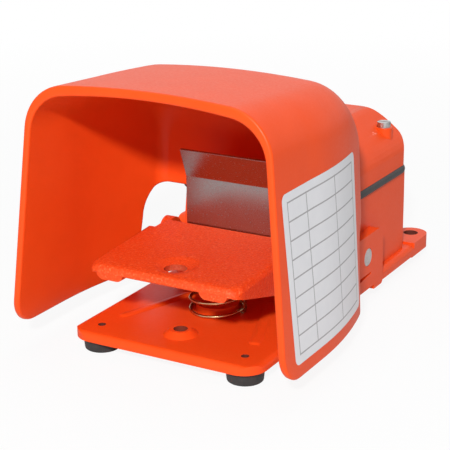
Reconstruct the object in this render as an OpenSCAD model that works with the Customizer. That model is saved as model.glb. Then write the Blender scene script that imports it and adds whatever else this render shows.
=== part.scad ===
// Industrial foot switch: an iron base that carries a switch housing, a full hood over the
// treadle, a sprung treadle on a rear pin and a toe gate that is hinged on the treadle.
// Places are measured from the front edge of the base plate (y = 0) and from the floor (z = 0).
// placed() then shifts every sub-part so that the origin lies under the middle of the whole.

/* [Base plate] */
// Width of the base plate
plate_w = 119; // [114:1:126]
// Length of the plate between the rear ears
plate_len = 226; // [222:1:230]
// Thickness of the base plate
plate_t = 5.2; // [4:0.2:7]
// Radius of the plate's front corners
plate_corner_r = 13.5; // [8:0.5:18]
// Height of the bolt boss above the plate
boss_h = 3; // [2:0.5:5]
// Distance of the front bolt boss from the plate's front edge
boss_y = 24; // [20:1:30]
// Radius of the front bolt hole
boss_hole_r = 4; // [2.5:0.25:4.5]
// Height of the soft ribs on the plate
rib_h = 1.1; // [0.8:0.1:2.5]

/* [Mounting ears] */
// Thickness of the ears
ear_t = 8.8; // [7:0.2:10]
// Thickness of the plate under the housing
rear_t = 7.6; // [6:0.2:8.6]
// Radius of the rounded ear ends
ear_r = 10.5; // [8:0.5:12]
// Distance of the ear holes from the plate's front edge
ear_y = 235; // [233:0.5:242]
// Radius of the ear holes
ear_hole_r = 4.75; // [2.5:0.25:5.25]

/* [Feet] */
// Height of the rubber feet below the plate
foot_h = 8.2; // [6:0.2:11]
// Radius of the rubber feet
foot_r = 10.8; // [8:0.2:12]
// Distance between the two front feet
foot_span = 92; // [86:1:94]
// Distance between the two rear feet
rear_foot_span = 66; // [50:1:80]
// Distance of the front feet from the plate's front edge
front_foot_y = 14.4; // [13:0.2:20]
// Distance of the rear feet from the plate's front edge
rear_foot_y = 197; // [190:1:208]
// Radius of the foot screws
foot_screw_r = 2.2; // [1.5:0.1:2.6]

/* [Switch housing] */
// Width of the housing at the gasket
housing_w = 107; // [102:0.5:112]
// Extra half width of the housing where it meets the plate
housing_flare = 1.4; // [0.5:0.1:2]
// Height of the lower half above the floor
housing_top = 66.7; // [63:0.1:72]
// Distance of the housing's rear face from the plate's front edge
housing_rear = 212; // [210:0.5:216]
// Wall thickness of the housing
housing_wall = 4; // [3:0.25:5]
// Radius of the housing's rear corners
housing_corner_r = 8; // [6:0.5:12]
// Height of the wiring chamber's floor
chamber_floor = 50; // [49:0.5:53]
// Thickness of the chamber's floor
floor_t = 5; // [4:0.25:5.5]
// Bore radius of the conduit hub
conduit_r = 9.3; // [7:0.1:11]
// Height of the conduit hub's axis
conduit_z = 42; // [38:0.5:46]

/* [Housing cover] */
// Height of the cover's flat top above the floor
cover_top = 106.5; // [103:0.5:110]
// Half width of the flat top before its edges are rounded
shoulder_x = 28.8; // [27:0.2:33]
// Wall thickness of the cover
cover_wall = 3.5; // [3:0.25:4.5]
// Thickness of the gasket
gasket_t = 4.4; // [3:0.1:5]
// How far the gasket stands out of the joint
gasket_proud = 1.3; // [0.5:0.1:1.6]
// Radius of the cover screws
cover_screw_r = 2.5; // [1.8:0.1:2.8]

/* [Hood] */
// Width of the hood across its front, 60 mm above the floor
hood_w = 163.6; // [158:0.5:170]
// Height of the hood's roof at its front edge
hood_top = 156.6; // [150:0.5:165]
// Height of the hood's lower edge above the floor
hood_bottom = 15.2; // [12:0.2:22]
// How far the hood's lower front edge stands in front of the plate
hood_overhang = 16; // [12:0.5:20]
// Distance of the hood's back from the plate's front edge
hood_back = 114; // [112:0.5:116]
// Thickness of the hood's side walls
hood_wall = 4; // [3:0.25:5]
// Thickness of the hood's roof
roof_t = 5; // [3.5:0.25:6]
// Outer radius between the hood's roof and its sides
hood_corner_r = 27.3; // [20:0.5:32]
// Radius of the hood's lower front corners
hood_edge_r = 15; // [8:0.5:18]
// Radius of the rear cut-out's upper corners
cutout_r = 22; // [12:1:24]

/* [Pivot] */
// Height of the pivot pin's axis
pivot_z = 31.5; // [30.5:0.25:32.5]
// Distance of the pivot pin from the plate's front edge
pivot_y = 140.3; // [139:0.5:143]
// Radius of the pivot pin
pin_r = 5.55; // [4.5:0.05:6]
// Half length of the pivot lugs
lug_half = 22.2; // [20:0.2:24]
// Height of the pivot lugs above the pin
lug_rise = 14; // [12:0.5:16]
// Radius of the lugs' upper corners
lug_corner_r = 7.5; // [6:0.5:12]
// How far the pivot lugs stand out of the plate's side
lug_out = 1; // [0.5:0.1:2]
// Largest turn of the treadle when it is pressed, in degrees
press_max = 6.5; // [4:0.25:7]

/* [Treadle] */
// Clearance between the treadle's arms and the housing's walls
treadle_gap = 2.1; // [1.8:0.1:3]
// Distance of the treadle's front edge from the plate's front edge
treadle_front = 3.8; // [2:0.2:8]
// Height of the treadle's top at its front edge
treadle_z = 53.5; // [52:0.25:58]
// Rise of the treadle's top for each millimetre towards the rear
treadle_slope = 0.049; // [0.03:0.001:0.06]
// Thickness of the treadle's top
tread_t = 5; // [4:0.25:6]
// Thickness of the treadle's side walls
treadle_wall = 4; // [3:0.25:4.5]
// Radius of the bolt access hole
access_r = 6.4; // [5:0.2:7.5]
// Outer radius of the treadle's hub
hub_r = 9.5; // [9:0.1:10]
// Length of the bushes in the hub
bush_len = 12; // [8:0.5:16]
// Wall thickness of the bushes
bush_wall = 1.3; // [1:0.1:1.5]

/* [Return spring] */
// Mean radius of the return spring
spring_r = 15.9; // [14:0.1:16.2]
// Radius of the spring wire
spring_wire_r = 0.9; // [0.7:0.05:1.1]
// Number of turns
spring_turns = 6; // [4:0.5:7]
// Distance of the spring from the plate's front edge
spring_y = 65; // [60:0.5:65.5]

/* [Gate] */
// Width of the gate plate
gate_w = 59; // [56:0.5:64]
// Thickness of the gate plate
gate_t = 1.5; // [1:0.1:1.8]
// Height of the bend below the gate's lip
gate_bend_z = 85.5; // [80:0.5:90]
// Length of the gate's lip
lip_len = 18.5; // [14:0.5:22]
// Lean of the lip towards the toe, in degrees
lip_lean = 21; // [10:1:30]
// Largest turn of the gate when the toe pushes it, in degrees
gate_max = 18; // [10:0.5:20]
// Radius of the gate's shaft
gate_shaft_r = 2; // [1.5:0.1:2.2]

/* [Switch] */
// Length of the snap switch
switch_len = 49.2; // [46:0.2:52]
// Width of the snap switch
switch_w = 17.4; // [15:0.2:19]
// Height of the snap switch
switch_h = 24.2; // [20:0.2:25]
// Radius of the push rod
rod_r = 3; // [2.4:0.1:3.4]
// Distance from the pivot pin to the push rod
rod_arm = 25; // [23:0.25:27]

/* [Hidden] */

$fn = 64;

// Clearances: a running fit, a piece seated in its hole, and free space between bodies.
run_gap = 0.05;
seat_gap = 0.02;
free_gap = 0.4;
eps = 0.02;

// Heights and places that several pieces share.
deck_z = foot_h + plate_t;
ear_top = foot_h + ear_t;
rear_deck_z = foot_h + rear_t;
ear_x = plate_w / 2 - ear_r;
gasket_top = housing_top + gasket_t;
housing_front = hood_back;
lug_x = plate_w / 2 + lug_out;
pocket_x = housing_w / 2 - housing_wall;
set_screw_x = lug_x - (lug_x - pocket_x) / 2.2;
treadle_w = 2 * (pocket_x - treadle_gap);
pocket_top = chamber_floor - floor_t;
pocket_rear = 180;
well_front = pocket_rear + housing_wall;
well_floor = 21;
hood_lean = 3.3;
rear_end = ear_y + ear_r;
front_end = hood_edge_r * sin(hood_lean) - hood_overhang;
mid_y = (rear_end + front_end) / 2;

// Screws of the cover: four corners inside the housing wall.
cover_screw_x = housing_w / 2 - 9.5;
cover_screw_front = housing_front + 11;
cover_screw_back = housing_rear - 15;
screw_boss_r = 6;
cover_screw_seat = 97;
shoulder_angle = 38.4;

// Tail of the treadle, its adjusting screw and the rod above it.
tail_top = pivot_z + 1.5;
tail_t = 9;
tail_w = 18;
rod_y = pivot_y + rod_arm;
locknut_t = 4;
screw_tip_z = tail_top + 7;
rod_z0 = screw_tip_z + free_gap;
rod_head_z = chamber_floor + 10.4;
rod_head_t = 3.2;
rod_lift = rod_arm * sin(press_max);
plunger_z0 = rod_head_z + rod_head_t + 0.3;
switch_z = rod_head_z + rod_head_t + rod_lift + 1;
plunger_r = 2.2;
plunger_len = 7.4;
switch_y0 = rod_y - 32.3;
bracket_t = 1.8;

// Treadle top and the gate's hinge.
function tread_z(y) = treadle_z + treadle_slope * (y - treadle_front);
tread_back = 80.2;
tread_neck_y = 66.5;
tread_neck_x = treadle_w / 2 - 4.9;
gate_front = tread_back + 0.7;
gate_axis_y = gate_front + gate_t + 3.6;
gate_axis_z = 49.5;
gate_ear_r = 7.5;
gate_ear_z0 = gate_axis_z - 6.5;
latch_z = 26;
latch_gap = 1.6;
bush_r = pin_r + bush_wall;
spring_top = tread_z(spring_y) - tread_t;

// ---------- helpers ----------

module placed() {
    translate([0, -mid_y, 0]) children();
}

module both_sides() {
    children();
    mirror([1, 0, 0]) children();
}

// Extrudes an outline drawn in (y, z) along X, from x0 to x1.
module across(x0, x1) {
    translate([x0, 0, 0]) rotate([90, 0, 90]) linear_extrude(x1 - x0) children();
}

// Extrudes an outline drawn in (x, z) along Y, from y0 to y1.
module along(y0, y1) {
    translate([0, y1, 0]) rotate([90, 0, 0]) linear_extrude(y1 - y0) children();
}

// Cylinder along X.
module rod_x(x0, x1, y, z, r) {
    translate([x0, y, z]) rotate([0, 90, 0]) cylinder(h = x1 - x0, r = r);
}

// Cylinder along Y.
module rod_y(y0, y1, x, z, r) {
    translate([x, y1, z]) rotate([90, 0, 0]) cylinder(h = y1 - y0, r = r);
}

// Cylinder along Z.
module post(x, y, z0, z1, r) {
    translate([x, y, z0]) cylinder(h = z1 - z0, r = r);
}

// Rectangle with round corners, its corner at the origin.
module rounded(w, l, r) {
    translate([r, 0]) square([w - 2 * r, l]);
    translate([0, r]) square([w, l - 2 * r]);
    for (x = [r, w - r], y = [r, l - r]) translate([x, y]) circle(r);
}

// Outline with rounded corners: each point is [a, b, radius].
function unit(v) = v / norm(v);
function fillet(p, q, s, steps) =
    let (u = unit([p[0] - q[0], p[1] - q[1]]), v = unit([s[0] - q[0], s[1] - q[1]]),
         half = acos(u * v) / 2, r = q[2], c = [q[0], q[1]] + unit(u + v) * r / sin(half),
         a = [q[0], q[1]] + u * r / tan(half) - c, b = [q[0], q[1]] + v * r / tan(half) - c,
         turn = 180 - 2 * half)
    [for (i = [0:steps])
        let (k = i / steps)
        c + (a * sin((1 - k) * turn) + b * sin(k * turn)) / sin(turn)];
function round_path(pts, steps = 6) =
    [for (i = [0:len(pts) - 1])
        let (p = pts[(i + len(pts) - 1) % len(pts)], q = pts[i], s = pts[(i + 1) % len(pts)])
        each (q[2] == 0 ? [[q[0], q[1]]] : fillet(p, q, s, steps))];

// Tube of one radius swept along a list of points that lie close together.
function ring(p, t, r, sides) =
    let (side = unit(cross(t, [0.01, 0.02, 1])), lift = cross(side, t))
    [for (k = [0:sides - 1]) p + r * (cos(360 * k / sides) * side + sin(360 * k / sides) * lift)];
module wire(path, r, sides = 8) {
    n = len(path);
    rings = [for (i = [0:n - 1])
        ring(path[i], unit(path[min(i + 1, n - 1)] - path[max(i - 1, 0)]), r, sides)];
    points = [for (one = rings) each one];
    walls = [for (i = [0:n - 2], k = [0:sides - 1])
        let (m = (k + 1) % sides)
        each [[i * sides + k, i * sides + m, (i + 1) * sides + k],
              [i * sides + m, (i + 1) * sides + m, (i + 1) * sides + k]]];
    ends = [[for (k = [sides - 1:-1:0]) k], [for (k = [0:sides - 1]) (n - 1) * sides + k]];
    polyhedron(points = points, faces = concat(walls, ends));
}

// Pan-head screw standing on z = 0 with its shank below.
module pan_screw(r, head_r, head_h, shank) {
    slot = head_r / 4;
    difference() {
        cylinder(h = head_h, r = head_r);
        translate([-head_r - eps, -slot / 2, head_h * 0.55]) cube([2 * head_r + 2 * eps, slot, head_h]);
    }
    translate([0, 0, -shank]) cylinder(h = shank + eps, r = r);
}

// ---------- base ----------

// Outline of the plate, without its ears.
module plate_outline() {
    r = plate_corner_r;
    translate([-plate_w / 2, r]) square([plate_w, plate_len - r]);
    translate([-plate_w / 2 + r, 0]) square([plate_w - 2 * r, plate_len]);
    for (x = [-1, 1]) translate([x * (plate_w / 2 - r), r]) circle(r);
}

// The plate itself: its upper edges are rounded, and it is thicker under the housing.
module plate() {
    w = plate_w / 2;
    edge_r = 0.65 * plate_t;
    intersection() {
        translate([0, 0, foot_h]) linear_extrude(rear_t) plate_outline();
        across(-w, w) polygon(round_path([[0, foot_h, 0], [plate_len, foot_h, 0],
            [plate_len, rear_deck_z, edge_r], [pivot_y, rear_deck_z, 0], [pivot_y, deck_z, 0],
            [0, deck_z, edge_r]], 6));
        union() {
            along(-1, pivot_y) polygon(round_path([[-w, foot_h, 0], [w, foot_h, 0],
                [w, deck_z, edge_r], [-w, deck_z, edge_r]], 6));
            along(pivot_y, plate_len + 1) polygon(round_path([[-w, foot_h, 0], [w, foot_h, 0],
                [w, rear_deck_z, edge_r], [-w, rear_deck_z, edge_r]], 6));
        }
    }
}

// Outline of the housing, grown by a rim. The front is square because the hood closes it.
module housing_outline(grow = 0, corner_r = housing_corner_r) {
    w = housing_w + 2 * grow;
    len = housing_rear + grow - housing_front;
    intersection() {
        translate([-w / 2, housing_front]) square([w, len]);
        translate([-w / 2, housing_front - 40]) rounded(w, len + 40, corner_r);
    }
}

// Lower half of the housing with its side draft.
module housing_block() {
    wide = housing_w / 2 + housing_flare;
    intersection() {
        translate([0, 0, foot_h]) linear_extrude(housing_top - foot_h)
            housing_outline(housing_flare, housing_corner_r);
        along(housing_front, housing_rear + housing_flare)
            polygon([[-wide, foot_h], [wide, foot_h],
                     [housing_w / 2, housing_top], [-housing_w / 2, housing_top]]);
    }
}

// One soft rib: a round bar sunk into the plate.
module soft_rib() {
    start = [42, 32];
    end = [24, 86];
    r = 7;
    sink = deck_z + rib_h - r;
    span = norm(end - start);
    turn = atan2(end[1] - start[1], end[0] - start[0]);
    translate([start[0], start[1], sink]) rotate([0, 90, turn]) cylinder(h = span, r = r);
    for (p = [start, end]) translate([p[0], p[1], sink]) sphere(r);
}

// Pivot lug: a thick pad on the housing side, carried down to the underside of the plate.
module pivot_lug() {
    top = pivot_z + lug_rise;
    across(pocket_x, lug_x) polygon(round_path([[pivot_y - lug_half, foot_h, 0],
        [pivot_y + lug_half, foot_h, 2], [pivot_y + lug_half, top, lug_corner_r],
        [pivot_y - lug_half, top, lug_corner_r]], 8));
}

// Pocket under the chamber floor for the hub and the tail of the treadle.
module treadle_pocket() {
    translate([-pocket_x, housing_front - 1, deck_z])
        cube([2 * pocket_x, pocket_rear - housing_front + 1, pocket_top - deck_z]);
}

// Wiring chamber above the floor, and the well behind it where the conduit comes in.
module wiring_chamber() {
    inner = housing_rear - housing_wall;
    difference() {
        intersection() {
            translate([0, 0, chamber_floor]) linear_extrude(housing_top)
                housing_outline(-housing_wall, housing_corner_r - housing_wall);
            translate([-housing_w, housing_front + housing_wall, 0])
                cube([2 * housing_w, inner - housing_front, 2 * housing_top]);
        }
        cover_posts(0, 2 * housing_top);
    }
    difference() {
        translate([0, 0, well_floor]) linear_extrude(housing_top) intersection() {
            housing_outline(-housing_wall, housing_corner_r - housing_wall);
            translate([-housing_w, well_front]) square([2 * housing_w, inner - well_front]);
        }
        cover_posts(0, 2 * housing_top);
    }
}

module cover_posts(z0, z1) {
    for (x = [-1, 1], y = [cover_screw_front, cover_screw_back])
        post(x * cover_screw_x, y, z0, z1, screw_boss_r);
}

// Drain slot at the foot of each lug, under the pin.
module drain_slot() {
    z = pivot_z - 12.2;
    across(lug_x - 2.5, lug_x + 1) polygon([[pivot_y - 13, z - 0.9], [pivot_y + 4, z + 0.6],
        [pivot_y + 5, z + 1.5], [pivot_y - 13, z + 1.6]]);
}

// Shallow relief along the lower side edge of the plate, between the lug and the ear and
// in front of the lug's rear foot.
module side_relief() {
    edge = plate_w / 2;
    translate([edge - 6, pivot_y + lug_half + 2, foot_h - 1])
        cube([lug_x, ear_y - ear_r - 14 - pivot_y - lug_half, 1.8]);
    along(40, pivot_y + 9.5) polygon([[edge - 1.6, foot_h - 1], [lug_x + 1, foot_h - 1],
        [lug_x + 1, foot_h + 3.5], [edge - 3, foot_h]]);
}

module base() {
    stop_y = pivot_y + 16.2;
    stop_z = tail_top + (stop_y - pivot_y) * sin(press_max) + free_gap;
    color("orangered") placed() difference() {
        union() {
            plate();
            for (x = [-ear_x, ear_x]) {
                post(x, ear_y, foot_h, ear_top, ear_r);
                translate([x - ear_r, plate_len - 10, foot_h]) cube([2 * ear_r, ear_y - plate_len + 10, ear_t]);
            }
            translate([0, boss_y, deck_z - eps]) cylinder(h = boss_h + eps, r1 = 10, r2 = 6);
            intersection() {
                both_sides() soft_rib();
                translate([-plate_w / 2, 0, foot_h]) cube([plate_w, plate_len, plate_t + rib_h]);
            }
            difference() {
                housing_block();
                treadle_pocket();
                wiring_chamber();
            }
            both_sides() pivot_lug();
            // stops of the treadle: one under its tail, one above
            post(0, pivot_y + rod_arm / 2 + 1.8, deck_z - eps, tail_top - tail_t - free_gap, 4);
            post(0, stop_y, stop_z, pocket_top + eps, 2.5);
            // step that the gate's latches catch on
            both_sides() translate([gate_w / 2 - 4, gate_axis_y + 4 + latch_gap, deck_z - eps])
                cube([7, 7, latch_z + 3 - deck_z]);
            // spigot that keeps the return spring in its place
            post(0, spring_y, deck_z - eps, deck_z + 5, spring_r - spring_wire_r - 2.5);
            // conduit hub
            rod_y(housing_rear - 1, housing_rear + 9, 0, conduit_z, conduit_r + 6);
        }
        post(0, boss_y, foot_h - 1, deck_z + boss_h + 1, boss_hole_r);
        for (x = [-ear_x, ear_x]) post(x, ear_y, foot_h - 1, ear_top + 1, ear_hole_r);
        for (x = [-1, 1]) {
            post(x * foot_span / 2, front_foot_y, foot_h - 1, deck_z + 1, foot_screw_r + seat_gap);
            post(x * rear_foot_span / 2, rear_foot_y, foot_h - 1, rear_deck_z - 1, foot_screw_r + seat_gap);
        }
        // pin bore through both lugs, and the set screws behind it
        rod_x(-lug_x - 4, lug_x + 4, pivot_y, pivot_z, pin_r + run_gap);
        both_sides() rod_y(pivot_y, pivot_y + lug_half + 1, set_screw_x, pivot_z, 2.5 + seat_gap);
        both_sides() drain_slot();
        both_sides() side_relief();
        // cover screws, rod guide, switch bracket and ground screw
        for (x = [-1, 1], y = [cover_screw_front, cover_screw_back])
            post(x * cover_screw_x, y, housing_top - 15, housing_top + 1, cover_screw_r + seat_gap);
        post(0, rod_y, pocket_top - 1, chamber_floor + 1, rod_r + 2.5 + seat_gap);
        for (y = bracket_screw_y) post(bracket_screw_x, y, chamber_floor - 3.6, chamber_floor + 1, 2 + seat_gap);
        post(ground_x, ground_y, chamber_floor - 3.6, chamber_floor + 1, 2 + seat_gap);
        rod_y(housing_rear - housing_wall - 5, housing_rear + 10, 0, conduit_z, conduit_r);
    }
}

// ---------- cover and gasket ----------

// Front view of the cover, drawn inside its walls by the given inset.
module cover_profile(inset = 0, drop = 0) {
    w = housing_w / 2 + 0.5 - inset;
    top = cover_top - inset;
    z0 = gasket_top - drop;
    rise = tan(shoulder_angle);
    slide = inset * (1 - cos(shoulder_angle)) / sin(shoulder_angle);
    flat = shoulder_x - slide;
    side_z = top - (w - 0.4 - flat) * rise;
    side_r = min(20 - inset, (side_z - z0 - 0.5) / tan(45 - shoulder_angle / 2));
    half = [[w, z0, 0], [w - 0.4, side_z, side_r], [flat, top, 14]];
    path = concat(half, [for (i = [2:-1:0]) [-half[i][0], half[i][1], half[i][2]]]);
    polygon(round_path(path, 6));
}

// Side view of the cover: its rear top edge is well rounded.
module cover_side(inset = 0, drop = 0) {
    y0 = housing_front + inset;
    y1 = housing_rear + 0.5 - inset;
    z0 = gasket_top - drop;
    top = cover_top + 1 - inset;
    polygon(round_path([[y0, z0, 0], [y1, z0, 0], [y1, top, 12 - inset], [y0, top, 0]], 8));
}

module cover_shape(inset = 0, drop = 0) {
    intersection() {
        along(housing_front, housing_rear + 1) cover_profile(inset, drop);
        across(-housing_w, housing_w) cover_side(inset, drop);
        linear_extrude(2 * cover_top) housing_outline(0.5 - inset, housing_corner_r - 0.8 - inset);
    }
}

module cover() {
    color("orangered") placed() difference() {
        union() {
            difference() {
                cover_shape();
                difference() {
                    cover_shape(cover_wall, 1);
                    cover_posts(0, 2 * cover_top);
                }
            }
            // pads on the inner front wall for the hood screws
            for (x = hood_screw_x, z = hood_screw_z)
                rod_y(housing_front + 1, housing_front + 9, x, z, 5);
            // level pads on the sloping shoulders for the cover screws
            for (x = [-1, 1], y = [cover_screw_front, cover_screw_back])
                post(x * cover_screw_x, y, cover_screw_seat - 8.5, cover_screw_seat, 5.4);
        }
        for (x = [-1, 1], y = [cover_screw_front, cover_screw_back]) {
            post(x * cover_screw_x, y, gasket_top - 1, cover_top, cover_screw_r + 0.2);
            post(x * cover_screw_x, y, cover_screw_seat, cover_top + 10, 4.6);
        }
        for (x = hood_screw_x, z = hood_screw_z)
            rod_y(housing_front - 1, housing_front + 8, x, z, 2.5 + seat_gap);
    }
}

module cover_gasket() {
    color("dimgray") placed() translate([0, 0, housing_top]) difference() {
        linear_extrude(gasket_t) difference() {
            housing_outline(gasket_proud, housing_corner_r);
            translate([0, housing_wall]) intersection() {
                housing_outline(-housing_wall, housing_corner_r - housing_wall);
                translate([-housing_w, housing_front])
                    square([2 * housing_w, housing_rear - housing_front - 2 * housing_wall]);
            }
        }
        for (x = [-1, 1], y = [cover_screw_front, cover_screw_back])
            post(x * cover_screw_x, y, -1, gasket_t + 1, cover_screw_r + 0.2);
    }
}

module cover_screws() {
    color("silver") placed() for (x = [-1, 1], y = [cover_screw_front, cover_screw_back])
        translate([x * cover_screw_x, y, cover_screw_seat])
            pan_screw(cover_screw_r, 4.2, 3.4, cover_screw_seat - housing_top + 12);
}

// ---------- hood ----------

hood_ref_z = 60;
bow_start = 35;
bow_r = 240;
roof_fall = 0.06;
back_corner_r = 9.5;
back_top_r = 34;
hood_screw_x = [-20, 20];
hood_screw_z = [gasket_top + 5.4, gasket_top + 15];

// Half width, side flare and roof height of the hood at the distance y from the plate's front.
function bow(y) = y < bow_start ? 0 : bow_r - sqrt(bow_r * bow_r - (y - bow_start) * (y - bow_start));
function flare(y) = 0.1 - 0.05 * max(0, min(1, (y - 30) / 80));
function quarter(y, start, r) = y < start ? 0 : r - sqrt(max(0, r * r - (y - start) * (y - start)));

// Right half of an arch: side line, corner arc and crown arc, from the bottom to the middle.
function arch_half(w, fl, top, crown_r, r, z0, steps) =
    let (n = [cos(atan(fl)), sin(atan(fl))], d = [-n[1], n[0]],
         off = n[0] * w + n[1] * hood_ref_z - r, q = n * off - [0, top - crown_r],
         b = q * d, c = q * q - (crown_r - r) * (crown_r - r),
         mid = n * off + d * (-b + sqrt(b * b - c)),
         a0 = atan2(n[1], n[0]), v = mid - [0, top - crown_r], a1 = atan2(v[1], v[0]),
         foot = [w + fl * (hood_ref_z - z0), z0])
    concat([foot],
        [for (i = [0:steps]) let (a = a0 + (a1 - a0) * i / steps) mid + r * [cos(a), sin(a)]],
        [for (i = [1:5]) let (a = a1 + (90 - a1) * i / 5)
            [crown_r * cos(a), top - crown_r + crown_r * sin(a)]]);

// One thin slice of the hood's solid form at y, drawn inside by the wall thicknesses.
module hood_slice(y, side_in, top_in, back_in, z0) {
    back = hood_back - back_in;
    side_r = back_corner_r - back_in;
    top_r = back_top_r - back_in;
    w = hood_w / 2 - bow(y) - side_in - quarter(y, back - side_r, side_r);
    top = hood_top - roof_fall * (y + 8) - top_in - quarter(y, back - top_r, top_r);
    r = hood_corner_r - side_in - quarter(y, back - side_r, side_r) / 2;
    half = arch_half(w, flare(y), top, side_in > 0 ? 400 : 548, r, z0, 9);
    whole = concat(half, [for (i = [len(half) - 2:-1:0]) [-half[i][0], half[i][1]]]);
    translate([0, y, 0]) rotate([90, 0, 0]) linear_extrude(0.01) polygon(whole);
}

module hood_form(side_in, top_in, back_in, z0) {
    back = hood_back - back_in;
    ends = [for (k = [0:4]) back - (back_corner_r - back_in) * (1 - sin(k * 22.5))];
    hull() {
        for (y = [-30, bow_start, 52, 66, 80, 88, 96]) hood_slice(y, side_in, top_in, back_in, z0);
        for (y = ends) hood_slice(y, side_in, top_in, back_in, z0);
    }
}

module hood() {
    cut_top = gasket_top + 0.4;
    edge_r = hood_edge_r;
    edge_z = (hood_bottom + edge_r * (1 + sin(hood_lean))) / cos(hood_lean);
    color("orangered") placed() difference() {
        hood_form(0, 0, 0, hood_bottom);
        hood_form(hood_wall, roof_t, hood_wall, hood_bottom - 20);
        // leaning front face with rounded lower corners
        translate([0, -hood_overhang - hood_bottom * tan(hood_lean), 0]) rotate([-hood_lean, 0, 0])
            across(-hood_w, hood_w) polygon(concat([[-60, -20], [-60, 200], [0, 200]],
                [for (a = [180:9:270]) [edge_r + edge_r * cos(a), edge_z + edge_r * sin(a)]],
                [[edge_r, -20]]));
        // rear cut-out that clears the treadle and the pivot lugs
        across(-hood_w, hood_w) polygon(concat(
            [[hood_back + 30, cut_top], [hood_back + 30, -10], [93, -10], [93, hood_bottom]],
            [for (a = [180:-10:90]) [97 + cutout_r + cutout_r * cos(a), cut_top - cutout_r + cutout_r * sin(a)]]));
        for (x = hood_screw_x, z = hood_screw_z)
            rod_y(hood_back - hood_wall - 2, hood_back + 1, x, z, 2.7);
    }
}

module hood_screws() {
    color("silver") placed() for (x = hood_screw_x, z = hood_screw_z)
        translate([x, hood_back - hood_wall, z]) rotate([90, 0, 0]) pan_screw(2.5, 4.5, 2.8, 11);
}

// ---------- pivot, feet and spring ----------

module pivot_pin() {
    color("gray") placed() rod_x(-lug_x, lug_x, pivot_y, pivot_z, pin_r);
}

module pin_set_screws() {
    color("dimgray") placed() both_sides() difference() {
        rod_y(pivot_y + pin_r + seat_gap, pivot_y + pin_r + 10, set_screw_x, pivot_z, 2.5);
        rod_y(pivot_y + pin_r + 7, pivot_y + pin_r + 11, set_screw_x, pivot_z, 1.2);
    }
}

foot_places = [for (x = [-1, 1]) each [[x * foot_span / 2, front_foot_y, 0],
    [x * rear_foot_span / 2, rear_foot_y, 0]]];

module rubber_feet() {
    color("dimgray") placed() for (p = foot_places)
        translate(p) difference() {
            cylinder(h = foot_h, r1 = foot_r - 0.8, r2 = foot_r);
            translate([0, 0, -1]) cylinder(h = foot_h / 2 + 1, r = 5);
            translate([0, 0, -1]) cylinder(h = foot_h + 2, r = foot_screw_r + 0.1);
        }
}

module foot_screws() {
    color("silver") placed() for (p = foot_places)
        translate(p + [0, 0, foot_h / 2]) rotate([180, 0, 0])
            pan_screw(foot_screw_r, 4.2, 2.4, foot_h / 2 + plate_t - 2.2);
}

module return_spring() {
    height = spring_top - deck_z - 2 * spring_wire_r - 0.1;
    closed = 0.75;
    steps = 22;
    // the first and last part turns lie flat, the turns between them climb evenly
    function climb(t) = min(1, max(0, (t - closed) / (spring_turns - 2 * closed)));
    path = [for (i = [0:steps * spring_turns])
        let (t = i / steps, a = 360 * t)
        [spring_r * cos(a), spring_y + spring_r * sin(a),
         deck_z + spring_wire_r + 0.05 + height * (0.04 * t / spring_turns + 0.96 * climb(t))]];
    color("goldenrod") placed() wire(path, spring_wire_r, 8);
}

// ---------- treadle ----------

// Plan of the treadle's top: full width, then a narrower neck up to the gate.
module tread_plan() {
    w = treadle_w / 2;
    polygon(round_path([[-w, treadle_front, 7], [w, treadle_front, 7], [w, tread_neck_y, 2.5],
        [tread_neck_x, tread_neck_y, 0], [tread_neck_x, tread_back, 0],
        [-tread_neck_x, tread_back, 0], [-tread_neck_x, tread_neck_y, 0], [-w, tread_neck_y, 2.5]], 5));
}

// Side view of the treadle's top.
module tread_side() {
    polygon(round_path([[treadle_front, treadle_z - tread_t, 1.5], [treadle_front, treadle_z, 1.2],
        [tread_back, tread_z(tread_back), 1], [tread_back, tread_z(tread_back) - tread_t, 0]], 4));
}

// Side view of a side wall: it deepens towards the hub and drops under the housing.
module treadle_wall_side() {
    hub_top = pivot_z + hub_r - 0.5;
    polygon(round_path([[treadle_front + 1, treadle_z - 1, 0],
        [tread_neck_y - 1, tread_z(tread_neck_y) - 1, 0], [tread_neck_y + 5, gate_axis_z + 4.5, 2],
        [pivot_y - 44.3, gate_axis_z + 2, 6], [pivot_y - 32.3, pocket_top - 3, 4], [pivot_y, hub_top, 0],
        [pivot_y, pivot_z - hub_r, 0], [pivot_y - 42.3, pivot_z - hub_r + 0.6, 20],
        [treadle_front + 1, treadle_z - tread_t, 0]], 5));
}

// One of the two short legs under the front edge.
module front_leg() {
    inner = treadle_w / 2 - 23.4;
    outer = treadle_w / 2 - 6.4;
    along(treadle_front + 0.3, treadle_front + 9)
        polygon(round_path([[inner, treadle_z - 2, 0], [outer, treadle_z - 2, 0],
            [outer, treadle_z - 8, 4], [inner, treadle_z - 8, 4]], 5));
}

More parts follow.
